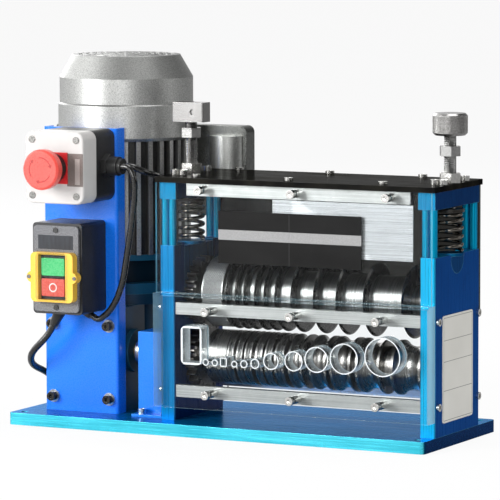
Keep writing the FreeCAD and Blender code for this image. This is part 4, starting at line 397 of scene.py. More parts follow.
def cast(name, color, dark, roughness=0.36, depth=0.014, foot=None, top_shade=0.75):
    """Silver paint with a fine grain over a casting; the last argument is how much painted shade
    darkens its top.
    """
    finish = Finish(name, metallic=0.9)
    grains = finish.spots(1100, 2, 0.6)
    cloud = finish.spots(22, 3)
    soft = finish.soft_edge(0.8)
    tone = finish.mix(finish.spread(grains, 0.36, 0.6), dark, color)
    tone = finish.mix(finish.calc("MULTIPLY", finish.spread(cloud, 0.5, 0.8), 0.2), tone, dark)
    # Painted shade: faces looking up are darkened.
    upward = finish.spread(finish.facing(2), 0.35, 0.95, 0.0, top_shade)
    tone = finish.mix(upward, tone, CAST_TOP_SHADE)
    if foot:
        tone = paint_foot(finish, tone, soft, foot)
    rough = finish.spread(grains, 0.35, 0.65, roughness + 0.1, roughness - 0.05)
    finish.set(color=tone, roughness=rough, normal=finish.bump(grains, depth, soft))
    return finish.material


def moulded(name, color, dark, roughness=0.4, grain=900, depth=0.02, radius=0.5, coat=0.0):
    """Moulded plastic with a fine spark grain."""
    finish = Finish(name, specular=0.5, coat=coat, coat_roughness=0.1)
    grains = finish.spots(grain, 2, 0.6)
    cloud = finish.spots(30, 3)
    tone = finish.mix(finish.spread(cloud, 0.3, 0.75), dark, color)
    rough = finish.spread(grains, 0.35, 0.7, roughness - 0.05, roughness + 0.12)
    finish.set(color=tone, roughness=rough,
               normal=finish.bump(grains, depth, finish.soft_edge(radius)))
    return finish.material


def clear(name, tint, edge, edge_axes, haze=0.008, share=0.5, shine_share=0.22):
    """Clear sheet that shines. haze is how far scratches whiten it, share its sawn edges."""
    finish = Finish(name, color=edge, roughness=0.25, specular=0.5)
    through = finish.node("BsdfTransparent", {"Color": tint}).outputs[0]
    swirls = finish.bump(finish.spots(260, 3, 0.7), 0.004)
    gloss = {"Color": (1, 1, 1), "Roughness": SHEET_GLOSS, "Normal": swirls}
    gloss = finish.node("BsdfGlossy", gloss).outputs[0]
    shine = finish.node("Fresnel", {"IOR": SHEET_IOR}).outputs[0]
    sheet = finish.layer(finish.calc("MULTIPLY", shine, shine_share), through, gloss)
    frost = finish.spread(finish.spots((500, 60, 500), 4, 0.7), 0.6, 0.75, 0.0, haze)
    for axis in edge_axes:
        sawn = finish.spread(finish.calc("ABSOLUTE", finish.facing(axis)), 0.6, 0.8, 0.0, share)
        frost = finish.calc("MAXIMUM", frost, sawn)
    finish.feed(finish.end, finish.layer(frost, sheet, finish.shader.outputs[0]))
    return finish.material


def black_plate():
    """Polished black sheet, whose reflections stay dark."""
    finish = Finish("black_plate", metallic=0.35, tint=(0.05, 0.05, 0.04), specular=0.0)
    smear = finish.spots((25, 60, 25), 4, 0.6)
    dust = finish.spots(700, 2, 0.6)
    soft = finish.soft_edge(0.5)
    share = finish.spread(smear, 0.4, 0.75)
    color = finish.mix(share, (0.008, 0.008, 0.008), (0.022, 0.021, 0.017))
    color = finish.mix(finish.calc("MULTIPLY", finish.edge_mask(soft), 0.5), color, (0.2, 0.2, 0.2))
    rough = finish.spread(smear, 0.35, 0.75, 0.12, 0.3)
    finish.set(color=color, roughness=rough, normal=finish.bump(dust, 0.002, soft))
    return finish.material


def threaded():
    """The adjusters' steel, with a thread where it is as slim as the rods, painted shade in its
    grooves, and duller heads.
    """
    finish = Finish("threaded_steel", metallic=1.0)
    x, y, z = finish.axes(finish.place)
    grain = finish.spots(700, 3, 0.6)
    cloud = finish.spots(45, 4, 0.6)
    tone = finish.weigh(grain, 0.5, cloud, 0.5)
    color = finish.mix(finish.spread(tone, 0.35, 0.65), (0.34, 0.34, 0.335), (0.56, 0.56, 0.55))
    head = finish.spread(z, ADJUSTER_HEADS[0] * MM, ADJUSTER_HEADS[1] * MM, 0.0, 0.75)
    color = finish.mix(head, color, (0.27, 0.265, 0.26))
    sides = [finish.calc("SUBTRACT", x, place * MM) for place in SPRING_X.values()]
    across = finish.calc("MINIMUM", *[finish.calc("ABSOLUTE", side) for side in sides])
    along = finish.calc("SUBTRACT", y, ROLLER_Y * MM)
    reach = finish.calc("SQRT", finish.weigh(across, across, along, along))
    slim = finish.spread(reach, (ROD_RADIUS + 0.12) * MM, (ROD_RADIUS + 0.1) * MM)
    lean = finish.calc("MULTIPLY", x, THREAD_PITCH / (2 * math.pi * ROD_RADIUS))
    turn = finish.calc("DIVIDE", finish.calc("ADD", z, lean), THREAD_PITCH * MM)
    crest = finish.calc("PINGPONG", turn, 0.5)
    crest = finish.calc("MULTIPLY", finish.calc("MULTIPLY", crest, 2.0), slim)
    soft = finish.soft_edge(0.2)
    color = finish.mix(finish.edge_mask(soft), color, (0.8, 0.79, 0.77))
    # Painted shade: the thread's grooves are darkened.
    groove = finish.calc("MULTIPLY", finish.calc("SUBTRACT", slim, crest), 0.5)
    color = finish.mix(groove, color, (0.02, 0.019, 0.017))
    fine = finish.bump(grain, 0.003, soft)
    finish.set(color=color, roughness=finish.spread(tone, 0.3, 0.7, 0.3, 0.18),
               normal=finish.bump(crest, THREAD_DEPTH, fine))
    return finish.material


def washered():
    """Black bolts over bright washers: what lies against the bracket is zinc."""
    finish = Finish("washered_bolts", metallic=1.0)
    y = finish.axes(finish.place)[1]
    tarnish = finish.spots(500, 3, 0.6)
    soft = finish.soft_edge(0.3)
    share = finish.spread(tarnish, 0.35, 0.65)
    black = finish.mix(share, (0.015, 0.014, 0.013), (0.06, 0.058, 0.055))
    black = finish.mix(finish.edge_mask(soft), black, (0.25, 0.24, 0.22))
    bright = finish.mix(share, (0.42, 0.45, 0.5), (0.75, 0.78, 0.82))
    washer = finish.spread(y, (WASHER_TOP_Y - 0.03) * MM, (WASHER_TOP_Y + 0.03) * MM)
    rough = finish.spread(tarnish, 0.3, 0.7, 0.38, 0.28)
    finish.set(color=finish.mix(washer, black, bright), roughness=rough,
               normal=finish.bump(tarnish, 0.006, soft))
    return finish.material


def small_screws():
    """Zinc screws on the stop box and bezel; those of the switch's face are blackened."""
    finish = Finish("small_screws", metallic=1.0)
    z = finish.axes(finish.place)[2]
    tarnish = finish.spots(500, 3, 0.6)
    share = finish.spread(tarnish, 0.35, 0.65)
    zinc = finish.mix(share, (0.14, 0.14, 0.135), (0.34, 0.335, 0.32))
    black = finish.mix(share, (0.04, 0.04, 0.04), (0.12, 0.12, 0.12))
    bands = [finish.between(z, *band) for band in BLACK_SCREWS]
    color = finish.mix(finish.calc("MAXIMUM", *bands), zinc, black)
    finish.set(color=color, roughness=finish.spread(tarnish, 0.3, 0.7, 0.32, 0.2),
               normal=finish.bump(tarnish, 0.004, finish.soft_edge(0.25)))
    return finish.material


def speckled():
    """The switch face: grey paint flecked with black, with a bare dark window."""
    finish = Finish("speckled", specular=0.4)
    flecks = finish.spots(1500, 2, 0.7)
    x, _, z = finish.axes(finish.place)
    color = finish.mix(finish.spread(flecks, 0.42, 0.58), (0.03, 0.03, 0.035), (0.26, 0.265, 0.28))
    window = finish.calc("MULTIPLY", finish.between(x, *FACE_WINDOW_X),
                         finish.between(z, *FACE_WINDOW_Z))
    grain = finish.spots((300, 900, 40), 2)
    plain = finish.mix(finish.spread(grain, 0.3, 0.7), (0.012, 0.014, 0.02), (0.022, 0.026, 0.035))
    color = finish.mix(window, color, plain)
    rough = finish.spread(flecks, 0.4, 0.6, 0.6, 0.4)
    finish.set(color=color, roughness=rough,
               normal=finish.bump(flecks, 0.05, finish.soft_edge(0.5)))
    return finish.material


def printed_label():
    """The black panel: satin print with a plain grey band across it."""
    finish = Finish("printed_label", specular=0.12)
    x, _, z = finish.axes(finish.place)
    grain = finish.spots(1200, 2)
    cloud = finish.spots((20, 20, 40), 3)
    black = finish.mix(finish.spread(cloud, 0.3, 0.7), (0.004, 0.004, 0.004), (0.008, 0.008, 0.008))
    grey = finish.mix(finish.spread(grain, 0.3, 0.7), (0.26, 0.26, 0.26), (0.32, 0.32, 0.32))
    color = finish.mix(finish.between(z, *LABEL_BAND), black, grey)
    seam = finish.calc("MULTIPLY", finish.between(x, *LABEL_SEAM), 0.5)
    color = finish.mix(seam, color, (0.1, 0.1, 0.1))
    rough = finish.spread(grain, 0.3, 0.7, 0.32, 0.45)
    finish.set(color=color, roughness=rough,
               normal=finish.bump(grain, 0.004, finish.soft_edge(0.2)))
    return finish.material


def plates():
    """The brushed panel inside the guard, and the white plate with thin rules on the right side."""
    finish = Finish("plates")
    x, y, z = finish.axes(finish.place)
    brush = finish.spots((9, 2600, 2600), 3, 0.6)
    cloud = finish.spots(12, 2)
    silver = finish.mix(finish.spread(brush, 0.3, 0.7), (0.7, 0.71, 0.72), (0.8, 0.81, 0.82))
    paper = finish.mix(finish.spread(cloud, 0.35, 0.7), (0.66, 0.65, 0.6), (0.76, 0.75, 0.7))
    rules = None
    for height in RULE_HEIGHTS:
        rule = finish.between(z, height - RULE_HALF, height + RULE_HALF)
        rules = rule if rules is None else finish.calc("MAXIMUM", rules, rule)
    rules = finish.calc("MULTIPLY", rules, finish.between(y, *RULE_ENDS))
    for place in RULE_ENDS:
        rule = finish.between(y, place - RULE_HALF, place + RULE_HALF)
        upright = finish.between(z, min(RULE_HEIGHTS), max(RULE_HEIGHTS))
        rule = finish.calc("MULTIPLY", rule, upright)
        rules = finish.calc("MAXIMUM", rules, rule)
    paper = finish.mix(rules, paper, (0.06, 0.06, 0.06))
    outside = finish.spread(x, RATING_PLATE_X[0] * MM, RATING_PLATE_X[1] * MM)
    color = finish.mix(outside, silver, paper)
    metallic = finish.calc("SUBTRACT", 0.55, outside, clamp=True)
    rough = finish.calc("ADD", finish.spread(brush, 0.3, 0.7, 0.2, 0.34),
                        finish.calc("MULTIPLY", outside, 0.2))
    finish.set(color=color, roughness=rough, metallic=metallic,
               normal=finish.bump(brush, 0.0015, finish.soft_edge(0.2)))
    return finish.material


def make_materials():
    """Every material, by the name that the pieces use."""
    return {
        # front, side and top colours of the anodised parts are painted light: lit fronts, shaded
        # sides
        "base": anodised("base_blue", (0.11, 0.78, 0.97), (0.002, 0.045, 0.13),
                         (0.006, 0.23, 0.56), roughness=0.24, grain=(12, 700, 700),
                         edge=(0.25, 0.75, 0.95)),
        "block": anodised("block_blue", (0.02, 0.5, 0.86), (0.004, 0.085, 0.32), (0.02, 0.3, 0.6)),
        # the left block's copy of the block blue is darker all over: painted shade
        "left_block": anodised("left_block_shaded_blue", (0.01, 0.24, 0.55), (0.003, 0.05, 0.2),
                               (0.015, 0.2, 0.45)),
        "top_block": anodised("top_block_blue", (0.02, 0.24, 0.46), (0.003, 0.05, 0.16),
                              (0.01, 0.2, 0.4)),
        "pillar": anodised("pillar_cyan", (0.01, 0.44, 0.72), (0.008, 0.34, 0.62),
                           (0.02, 0.45, 0.7), roughness=0.22),
        "bracket": painted("bracket_blue", (0.006, 0.2, 0.93), (0.004, 0.165, 0.85),
                           (0.12, 0.5, 0.95)),
        "cover": painted("cover_blue", (0.005, 0.24, 0.9), (0.003, 0.18, 0.8), (0.1, 0.5, 0.95)),
        "neck": painted("gearbox_paint", (0.008, 0.1, 0.19), (0.003, 0.03, 0.06), (0.03, 0.2, 0.3),
                        0.4, 0.06, 0.0),
        "bar": steel("bar_aluminium", (0.62, 0.62, 0.6), (0.34, 0.34, 0.33), 0.32, (7, 900, 900),
                     0.008, 0.3, (1.0, 1.0, 0.98)),
        "zinc": steel("zinc", (0.78, 0.775, 0.75), (0.58, 0.575, 0.55), 0.2, 400, 0.004, 0.6,
                      (0.85, 0.84, 0.8), 0.2),
        "rod": threaded(),
        "knurl": steel("knurled_steel", (0.46, 0.455, 0.445), (0.2, 0.195, 0.19), 0.34, 900, 0.01,
                       0.3),
        "bolt": washered(),
        "small_screw": small_screws(),
        "shaft": steel("ground_steel", (0.62, 0.62, 0.6), (0.36, 0.35, 0.33), 0.2, (1500, 12, 12),
                       0.004, 0.4),
        "spacer": steel("turned_steel", (0.38, 0.38, 0.37), (0.14, 0.14, 0.136), 0.3,
                        (1700, 10, 10), 0.008, 0.35, (0.85, 0.85, 0.83)),
        "blade": steel("blade_steel", (0.17, 0.165, 0.16), (0.06, 0.058, 0.055), 0.24,
                       (200, 700, 700), 0.004, 0.5, (0.75, 0.74, 0.72), 0.35),
        "drum": steel("drum_steel", (0.5, 0.5, 0.48), (0.22, 0.22, 0.21), 0.26, 300, 0.004, 0.5),
        "wheel": steel("wheel_steel", (0.4, 0.39, 0.375), (0.14, 0.136, 0.13), 0.26, (700, 60, 60),
                       0.008, 0.5, (0.55, 0.53, 0.5), 0.3),
        "gear": steel("gear_steel", (0.2, 0.19, 0.18), (0.06, 0.055, 0.05), 0.34, (60, 400, 400),
                      0.008, 0.6, (0.4, 0.39, 0.37)),
        "bronze": steel("worm_bronze", (0.5, 0.3, 0.12), (0.3, 0.17, 0.06), 0.3, (700, 60, 60),
                        0.006, 0.6),
        "spring": steel("spring_steel", (0.3, 0.275, 0.24), (0.05, 0.046, 0.04), 0.18, 350, 0.01,
                        0.6),
        "cap": steel("cap_steel", (0.09, 0.085, 0.08), (0.03, 0.028, 0.025), 0.32, (400, 400, 30),
                     0.006, 0.6, (0.3, 0.29, 0.27)),
        "carriage": anodised("carriage_blue", (0.01, 0.16, 0.34), (0.004, 0.07, 0.2),
                             (0.01, 0.14, 0.32)),
        "cast": cast("silver_paint", (0.6, 0.605, 0.59), (0.33, 0.335, 0.325), depth=0.03),
        "fins": cast("silver_fins", (0.55, 0.55, 0.54), (0.3, 0.3, 0.29), 0.32, 0.03,
                     foot=(0.012, 0.09, 0.16)),
        "case": cast("capacitor_silver", (0.62, 0.63, 0.61), (0.38, 0.39, 0.375), 0.3, 0.02,
                     top_shade=0.2),
        "rim": cast("capacitor_rim", (0.2, 0.205, 0.195), (0.09, 0.095, 0.09), 0.26, 0.015,
                    top_shade=0.2),
        "nylon": moulded("black_nylon", (0.02, 0.02, 0.02), (0.011, 0.011, 0.011), 0.34, 700, 0.02),
        "box": moulded("switch_box_black", (0.022, 0.022, 0.024), (0.012, 0.012, 0.013), 0.42, 800,
                       0.05),
        "white": moulded("warm_white", (0.59, 0.577, 0.563), (0.54, 0.525, 0.51), 0.46, 800, 0.02,
                         0.8),
        "yellow": moulded("bezel_yellow", (0.9, 0.55, 0.07), (0.84, 0.48, 0.045), 0.32, 700, 0.02),
        "green": moulded("button_green", (0.08, 0.6, 0.2), (0.06, 0.52, 0.16), 0.25, 500, 0.01,
                         0.5, 0.5),
        "red": moulded("button_red", (0.78, 0.11, 0.075), (0.7, 0.08, 0.055), 0.25, 500, 0.01, 0.5,
                       0.5),
        "mushroom": moulded("mushroom_red", (0.78, 0.085, 0.065), (0.7, 0.065, 0.05), 0.3, 900,
                            0.012, 0.8, 0.3),
        "mark": moulded("engraved_red", (0.4, 0.02, 0.016), (0.34, 0.016, 0.012), 0.45, 600, 0.01,
                        0.1),
        "legend": moulded("legend_red", (0.68, 0.02, 0.025), (0.6, 0.016, 0.02), 0.35, 700, 0.01),
        "patch": moulded("patch_brown", (0.2, 0.17, 0.155), (0.15, 0.125, 0.115), 0.3, 900, 0.006, 0.1,
                       0.3),
        "patch_pale": moulded("patch_grey", (0.42, 0.38, 0.36), (0.34, 0.3, 0.28), 0.3, 900, 0.006,
                             0.1, 0.3),
        "ring": moulded("ring_white", (0.85, 0.82, 0.8), (0.8, 0.76, 0.73), 0.4, 700, 0.01, 0.1),
        "tie": moulded("tie_black", (0.02, 0.02, 0.021), (0.012, 0.012, 0.012), 0.4, 600, 0.02,
                       0.2),
        "flex": moulded("flex_black", (0.009, 0.009, 0.009), (0.005, 0.005, 0.005), 0.24, 260,
                        0.012, 0.5, 0.6),
        "front_guard": clear("clear_front", (0.95, 0.965, 0.97), (0.3, 0.72, 0.85), (0, 2)),
        "low_guard": clear("clear_lower", (0.95, 0.965, 0.97), (0.5, 0.74, 0.82), (0, 2), 0.008,
                           0.4),
        # the rear sheet lets little light through: painted shade that keeps the inside of the
        # machine dark
        "rear_guard": clear("darkened_rear_sheet", (0.15, 0.15, 0.145), (0.03, 0.05, 0.055), (0, 2)),
        "guides": clear("clear_guides", (0.96, 0.98, 0.985), (0.9, 0.95, 0.97), (1,), 0.1, 0.75,
                        0.8),
        "window": clear("clear_window", (0.93, 0.95, 0.95), (0.7, 0.8, 0.82), (0, 2), 0.05, 0.3),
        "plate": black_plate(),
        "face": speckled(),
        "label": printed_label(),
        "plates": plates(),
    }


# The material of each solid
NODE_FINISH = {
    "base_plate": "base",
    "side_block_left": "left_block",
    "side_block_right": "block",
    "top_blocks": "top_block",
    "spacer_pillars": "pillar",
    "top_plate": "plate",
    "crossbars": "bar",
    "upper_guard": "front_guard",
    "rear_guard": "rear_guard",
    "lower_guard": "low_guard",
    "cable_guides": "guides",
    "label_panel": "label",
    "metal_plates": "plates",
    "frame_screws": "zinc",
    "guard_screws": "zinc",
    "lower_bearings": "shaft",
    "lower_shaft": "shaft",
    "feed_wheels": "wheel",
    "lower_gear": "gear",
    "upper_shaft": "shaft",
    "knurled_drum": "drum",
    "slitting_blades": "blade",
    "blade_spacers": "spacer",
    "upper_gear": "gear",
    "bearing_carriages": "carriage",
    "spring_cap_left": "cap",
    "spring_cap_right": "cap",
    "right_adjuster": "rod",
    "left_adjuster": "rod",
    "motor_bracket": "bracket",
    "bracket_bolts": "bolt",
    "gearbox_housing": "neck",
    "worm_wheel": "bronze",
    "coupling_cover": "cover",
    "motor_frame": "fins",
    "motor_end_bell": "cast",
    "fan_cowl": "cast",
    "motor_rotor": "gear",
    "capacitor_box": "rim",
    "capacitor_cover": "case",
    "estop_base": "box",
    "estop_cover": "white",
    "estop_legend": "legend",
    "estop_collar": "nylon",
    "estop_plunger": "nylon",
    "estop_button": "mushroom",
    "cable_glands": "nylon",
    "switch_box": "box",
    "switch_face": "face",
    "switch_bezel": "yellow",
    "start_button": "green",
    "stop_button": "red",
    "switch_window": "window",
    "control_screws": "small_screw",
    "control_leads": "flex",
    "mains_plug": "nylon",
}


def dress_nodes(materials):
    for name, finish in NODE_FINISH.items():
        mesh = NODES[name].data
        mesh.materials.clear()
        mesh.materials.append(materials[finish])


# Pieces

def add_mesh(name, points, faces, material, body=None, smooth=True):
    """A mesh piece from points in millimetres, riding on a body."""
    mesh = bpy.data.meshes.new(name)
    mesh.from_pydata([mm(*point) for point in points], [], faces)
    mesh.validate()
    mesh.update()
    mesh.polygons.foreach_set("use_smooth", [smooth] * len(mesh.polygons))
    mesh.materials.append(material)
    piece = bpy.data.objects.new(name, mesh)
    bpy.context.scene.collection.objects.link(piece)
    if body:
        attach(piece, body)
    return piece


def join_rings(rings, closed=False):
    """Points and faces of a skin over rings of equal length; the ends are capped or joined."""
    count = len(rings[0])
    points = [point for ring in rings for point in ring]
    faces = []
    pairs = list(zip(range(len(rings)), range(1, len(rings))))
    if closed:
        pairs.append((len(rings) - 1, 0))
    for first, second in pairs:
        for side in range(count):
            after = (side + 1) % count
            faces.append((first * count + side, first * count + after, second * count + after,
                          second * count + side))
    if not closed:
        faces.append(tuple(reversed(range(count))))
        faces.append(tuple(range((len(rings) - 1) * count, len(rings) * count)))
    return points, faces


# Mains cord: the route's points as in the part, then a flat coil of two layers

CORD_DIAMETER = 7
CORD_ROUTE = [
    (-183.507, -73.3, 102.006),
    (-187.386, -73.3, 95.009),
    (-192.5, -74, 88.5),
    (-198.5, -74.5, 82.5),
    (-205.5, -73, 76.5),
    (-211.5, -69.5, 70.5),
    (-216, -63.5, 64),
    (-218.2, -56, 58.5),
    (-218.4, -47.5, 54.3),
    (-218.3, -37.5, 50.8),
    (-218.1, -27, 46.4),
    (-217.8, -16, 40.5),
    (-217.3, -5, 33),
    (-217.5, 10, 22.5),
    (-218, 27, 16.6),
    (-217.8, 46, 16),
    (-216.6, 64, 16.4),
    (-214.2, 80.5, 17.2),
    (-213, 96, 13),
    (-212.6, 113, 6.6),
    (-213, 131, 3.6),
]
COIL_START = (-213, 147, 3.6)
COIL_RADIUS = 50
COIL_PITCH = 7.6
COIL_HALVES = 12
COIL_STEPS = 8
COIL_END = 27
# The spline runs inside its control points by this much
COIL_STRETCH = 1 / math.cos(math.pi / COIL_STEPS / 2)
TUBE_BEVEL_RESOLUTION = 5
TUBE_RESOLUTION = 8


def coil_points():
    """Control points of the coil: half turns, inwards on the floor and outwards above it."""
    place = Vector(COIL_START)
    points = [tuple(place)]
    side = 1
    for half in range(COIL_HALVES):
        layer = min(half, COIL_HALVES - half)
        climb = COIL_PITCH if half == COIL_HALVES // 2 else 0
        width = 2 * COIL_RADIUS - layer * COIL_PITCH
        end = place + Vector((side * width, 0, climb))
        middle = (place + end) / 2
        for step in range(COIL_STEPS):
            share = (step + 0.5) / COIL_STEPS
            angle = math.pi * share
            reach = width / 2 * COIL_STRETCH
            points.append((middle.x - side * reach * math.cos(angle),
                           middle.y + side * reach * math.sin(angle),
                           place.z + climb * share))
        place = end
        side = -side
    points.append(tuple(place))
    points.append((place.x, place.y + COIL_END / 2, place.z))
    points.append((place.x, place.y + COIL_END, place.z))
    return points


def add_tube(name, points, diameter, material):
    """A round tube on one smooth spline whose control points are given in millimetres."""
    data = bpy.data.curves.new(name, "CURVE")
    data.dimensions = "3D"
    data.bevel_depth = diameter / 2 * MM
    data.bevel_resolution = TUBE_BEVEL_RESOLUTION
    data.resolution_u = TUBE_RESOLUTION
    data.use_fill_caps = True
    spline = data.splines.new("NURBS")
    spline.points.add(len(points) - 1)
    for target, point in zip(spline.points, points):
        target.co = (*mm(*point), 1)
    spline.order_u = 3
    spline.use_endpoint_u = True
    data.materials.append(material)
    tube = bpy.data.objects.new(name, data)
    bpy.context.scene.collection.objects.link(tube)
    return tube


def add_cords(materials):
    cord = add_tube("mains_lead", CORD_ROUTE + coil_points(), CORD_DIAMETER, materials["flex"])
    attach(cord, "machine")
    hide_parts("mains_cord", "mains_coil")


# Springs

SPRING_WIRE = 3.8
SPRING_RADIUS = 11.6
SPRING_TURNS = 5
SPRING_BOTTOM = 187.3
SPRING_TOP = 226.2
# at either end this many turns lie close, and the pitch opens over as many more
SPRING_CLOSE_TURNS = 0.5
SPRING_END_PITCH = 4.4
RISE_STEPS = 200
STEPS_PER_TURN = 48
WIRE_SIDES = 14


def spring_rise(turn):
    """Rise of the wire's middle after so many turns: its ends are closed, its middle is open."""
    span = SPRING_TOP - SPRING_BOTTOM - SPRING_WIRE
    close = 3 * SPRING_CLOSE_TURNS
    middle_pitch = (span - close * SPRING_END_PITCH) / (SPRING_TURNS - close)

    def pitch(at):
        inward = min(at, SPRING_TURNS - at)
        share = min(max((inward - SPRING_CLOSE_TURNS) / SPRING_CLOSE_TURNS, 0), 1)
        return SPRING_END_PITCH + (middle_pitch - SPRING_END_PITCH) * share

    def climb(turns, count):
        width = turns / count
        return sum(pitch((step + 0.5) * width) for step in range(count)) * width

    count = max(1, round(turn / (SPRING_TURNS / RISE_STEPS)))
    return climb(turn, count) / climb(SPRING_TURNS, RISE_STEPS) * span


def spring_half(x, first, last):
    """Rings of the wire between two turns."""
    rings = []
    steps = round((last - first) * STEPS_PER_TURN)
    for step in range(steps + 1):
        turn = first + (last - first) * step / steps
        angle = 2 * math.pi * turn
        outward = Vector((math.cos(angle), math.sin(angle), 0))
        middle = Vector((x, ROLLER_Y, SPRING_BOTTOM + SPRING_WIRE / 2 + spring_rise(turn)))
        middle += outward * SPRING_RADIUS
        ring = []
        for corner in range(WIRE_SIDES):
            around = 2 * math.pi * corner / WIRE_SIDES
            ring.append(middle + outward * (math.cos(around) * SPRING_WIRE / 2)
                        + Vector((0, 0, math.sin(around) * SPRING_WIRE / 2)))
        rings.append(ring)
    return join_rings(rings)


def add_springs(materials):
    """Each spring is two halves that meet at mid height."""
    half_turns = SPRING_TURNS / 2
    for side, x in SPRING_X.items():
        middle = mm(x, ROLLER_Y, SPRING_BOTTOM + SPRING_WIRE / 2 + spring_rise(half_turns))
        upper = spring_half(x, half_turns, SPRING_TURNS)
        upper = add_mesh(f"spring_{side}_upper", *upper, materials["spring"])
        lower = spring_half(x, 0, half_turns)
        lower = add_mesh(f"spring_{side}_lower", *lower, materials["spring"])
        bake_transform(upper)
        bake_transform(lower)
        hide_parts("spring_" + side)
        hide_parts("spring_" + side)


# Knurls

KNURL_SINK = 0.4
KNOB_MIDDLE = (SPRING_X["right"], ROLLER_Y)
# name, axis (0 for x, 2 for z), middle across it, start, length, radius, count round, depth, body
KNURLS = (
    ("drum_knurl", 0, (ROLLER_Y, 137), -31.2, 21.4, 34.52, 180, 0.45, "upper_roller"),
    ("knob_knurl", 2, KNOB_MIDDLE, 302.7, 17.1, 16.77, 120, 0.35, "right_adjuster"),
)


def knurl(axis, centre, start, length, radius, around, depth):
    """A closed sleeve with crossed grooves."""
    step = 2 * math.pi * radius / around
    rows = max(2, 2 * round(length / step / 2))

    def point(along, angle, reach):
        first, second = math.cos(angle) * reach, math.sin(angle) * reach
        if axis == 0:
            return (along, centre[0] + first, centre[1] + second)
        return (centre[0] + first, centre[1] + second, along)

    points = []
    faces = []
    for row in range(rows + 1):
        for column in range(around):
            peak = (row + column) % 2 and 0 < row < rows
            points.append(point(start + length * row / rows, 2 * math.pi * column / around,
                                radius + (depth if peak else 0)))
    for row in range(rows):
        for column in range(around):
            after = (column + 1) % around
            corners = (row * around + column, row * around + after,
                       (row + 1) * around + after, (row + 1) * around + column)
            split = (0, 1, 2), (0, 2, 3)
            if (row + column) % 2:
                split = (0, 1, 3), (1, 2, 3)
            faces += [tuple(corners[index] for index in part) for part in split]
    inner = len(points)
    for row in (0, rows):
        for column in range(around):
            angle = 2 * math.pi * column / around
            points.append(point(start + length * row / rows, angle, radius - KNURL_SINK))
    last = rows * around
    inner_last = inner + around
    for column in range(around):
        after = (column + 1) % around
        faces.append((column, inner + column, inner + after, after))
        faces.append((last + column, last + after, inner_last + after, inner_last + column))
        faces.append((inner + column, inner_last + column, inner_last + after, inner + after))
    return points, faces


def add_knurls(materials):
    for name, *shape, body in KNURLS:
        add_mesh(name, *knurl(*shape), materials["knurl"], body, smooth=False)


# Marks on the controls

MARK_LIFT = 0.06
MARK_SINK = 0.25
RAY_START_Y = -400

MUSHROOM_MIDDLE = (-160, 263.25)
ARC_COUNT = 3
ARC_START = 95
ARC_SPAN = 72
ARC_RADII = (11.4, 12.6)
ARC_STEPS = 24
ARROW_RADIUS = 12
ARROW_SPAN = 16
ARROW_WIDTH = 4.6
ARROW_POINT = 0.02
ARROW_STEPS = 6

STOP_MIDDLE = (-165.75, 143.5)
STOP_RADII = (3.3, 4.5)
STOP_STEPS = 48

ESTOP_FACE_Y = -110
PATCH_SINK = 0.3
# name, low and high corner in x and z, height over the cover, finish
PATCHES = (
    ("estop_patch", (-145.3, 245.4), (-127.5, 277.9), 0.25, "patch"),
    ("estop_patch_stripe", (-136.3, 247.3), (-130.9, 272.8), 0.35, "patch_pale"),
)


class Surface:
    """The front of a CAD node, to lay thin marks on."""

    def __init__(self, node):
        mesh = NODES[node].data
        mesh.calc_loop_triangles()
        points = [vertex.co.copy() for vertex in mesh.vertices]
        triangles = [tuple(triangle.vertices) for triangle in mesh.loop_triangles]
        self.tree = BVHTree.FromPolygons(points, triangles)

    def front(self, x, z):
        """y of the surface, in millimetres, seen from the front."""
        hit = self.tree.ray_cast(mm(x, RAY_START_Y, z), Vector((0, 1, 0)))[0]
        return hit.y / MM


def mark_ring(surface, middle, inner, outer, angle):
    """The section of a thin mark at an angle: two corners over the surface and two under it."""
    corners = ((inner, MARK_LIFT), (outer, MARK_LIFT), (outer, -MARK_SINK), (inner, -MARK_SINK))
    ring = []
    for reach, raised in corners:
        x = middle[0] + reach * math.cos(angle)
        z = middle[1] + reach * math.sin(angle)
        ring.append((x, surface.front(x, z) - raised, z))
    return ring


def arc_band(surface, middle, inner, outer, start, end, steps):
    """A thin band along an arc, laid on a surface. Angles in degrees, anticlockwise from +x."""
    rings = []
    for step in range(steps + 1):
        angle = math.radians(start + (end - start) * step / steps)
        rings.append(mark_ring(surface, middle, inner, outer, angle))
    return rings


def arrow_head(surface, middle, radius, angle, span, width, steps):
    """A flat arrowhead that points along the arc."""
    rings = []
    for step in range(steps + 1):
        share = step / steps
        turn = math.radians(angle + span * share)
        half = width / 2 * (1 - share) + ARROW_POINT
        rings.append(mark_ring(surface, middle, radius - half, radius + half, turn))
    return rings


def box_piece(name, low, high, material, body):
    """A plain block between two corners, in millimetres."""
    ring = ((0, 0), (1, 0), (1, 1), (0, 1))
    span = [(low[axis], high[axis]) for axis in range(3)]
    rings = [[(span[0][i], span[1][j], z) for i, j in ring] for z in span[2]]
    return add_mesh(name, *join_rings(rings), material, body, smooth=False)


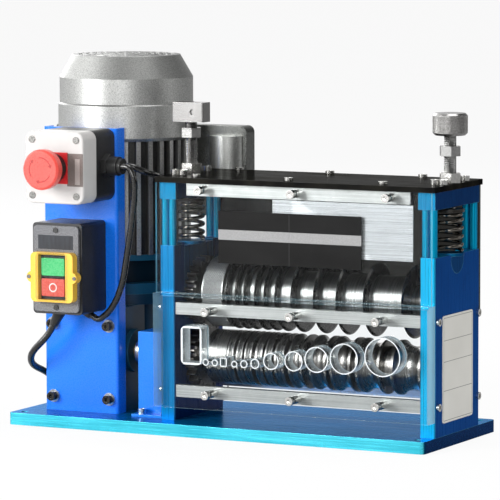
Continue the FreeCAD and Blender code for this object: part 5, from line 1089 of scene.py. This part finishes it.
def add_marks(materials):
    """A brown patch with a grey stripe on the stop box, turn arrows on the mushroom, a ring on the
    stop button.
    """
    for name, low, high, lift, finish in PATCHES:
        box_piece(name, (low[0], ESTOP_FACE_Y - lift, low[1]),
                  (high[0], ESTOP_FACE_Y + PATCH_SINK, high[1]), materials[finish], "machine")
    mushroom = Surface("estop_button")
    for index in range(ARC_COUNT):
        start = ARC_START - 360 / ARC_COUNT * index
        end = start - ARC_SPAN
        band = arc_band(mushroom, MUSHROOM_MIDDLE, *ARC_RADII, start, end, ARC_STEPS)
        add_mesh(f"turn_arc_{index}", *join_rings(band), materials["mark"], "estop_button",
                 smooth=False)
        head = arrow_head(mushroom, MUSHROOM_MIDDLE, ARROW_RADIUS, end, -ARROW_SPAN, ARROW_WIDTH,
                          ARROW_STEPS)
        add_mesh(f"turn_arrow_{index}", *join_rings(head), materials["mark"], "estop_button",
                 smooth=False)
    stop = Surface("stop_button")
    ring = arc_band(stop, STOP_MIDDLE, *STOP_RADII, 0, 360, STOP_STEPS)[:-1]
    points, faces = join_rings(ring, closed=True)
    add_mesh("stop_ring", points, faces, materials["ring"], "stop_button", smooth=False)


# Ties round the coil

TIE_ANGLES = (35, 215)
TIE_HALF_WIDTH = 2.4
TIE_THICKNESS = 0.8
TIE_MIDDLE_REACH = 40
TIE_INNER_HEIGHTS = (0.5, 14.8)
# distance from the coil's middle, and height
TIE_SECTION = (
    (24.2, 0.1),
    (54.8, 0.1),
    (55.6, 1.2),
    (55.6, 14.2),
    (54.4, 15.6),
    (24.6, 15.6),
    (23.4, 14.2),
    (23.4, 1.2),
)


def add_ties(materials):
    """Two flat loops that hold the turns together."""
    middle = (COIL_START[0] + COIL_RADIUS, COIL_START[1])
    for index, angle in enumerate(TIE_ANGLES):
        outward = Vector((math.cos(math.radians(angle)), math.sin(math.radians(angle)), 0))
        sideways = Vector((-outward.y, outward.x, 0))
        rings = []
        for reach, height in TIE_SECTION:
            inner_reach = reach + (TIE_THICKNESS if reach < TIE_MIDDLE_REACH else -TIE_THICKNESS)
            inner_height = min(max(height, TIE_INNER_HEIGHTS[0]), TIE_INNER_HEIGHTS[1])
            corners = (
                (reach, height, -TIE_HALF_WIDTH),
                (reach, height, TIE_HALF_WIDTH),
                (inner_reach, inner_height, TIE_HALF_WIDTH),
                (inner_reach, inner_height, -TIE_HALF_WIDTH),
            )
            rings.append([Vector((*middle, z)) + outward * at + sideways * shift
                          for at, z, shift in corners])
        points, faces = join_rings(rings, closed=True)
        add_mesh(f"coil_tie_{index}", points, faces, materials["tie"], "machine", smooth=False)


def main():
    add_camera()
    add_world()
    add_floor()
    add_lamps()
    bpy.context.scene.view_settings.view_transform = "Standard"
    materials = make_materials()
    dress_nodes(materials)
    add_cords(materials)
    add_springs(materials)
    add_knurls(materials)
    add_marks(materials)
    add_ties(materials)


main()
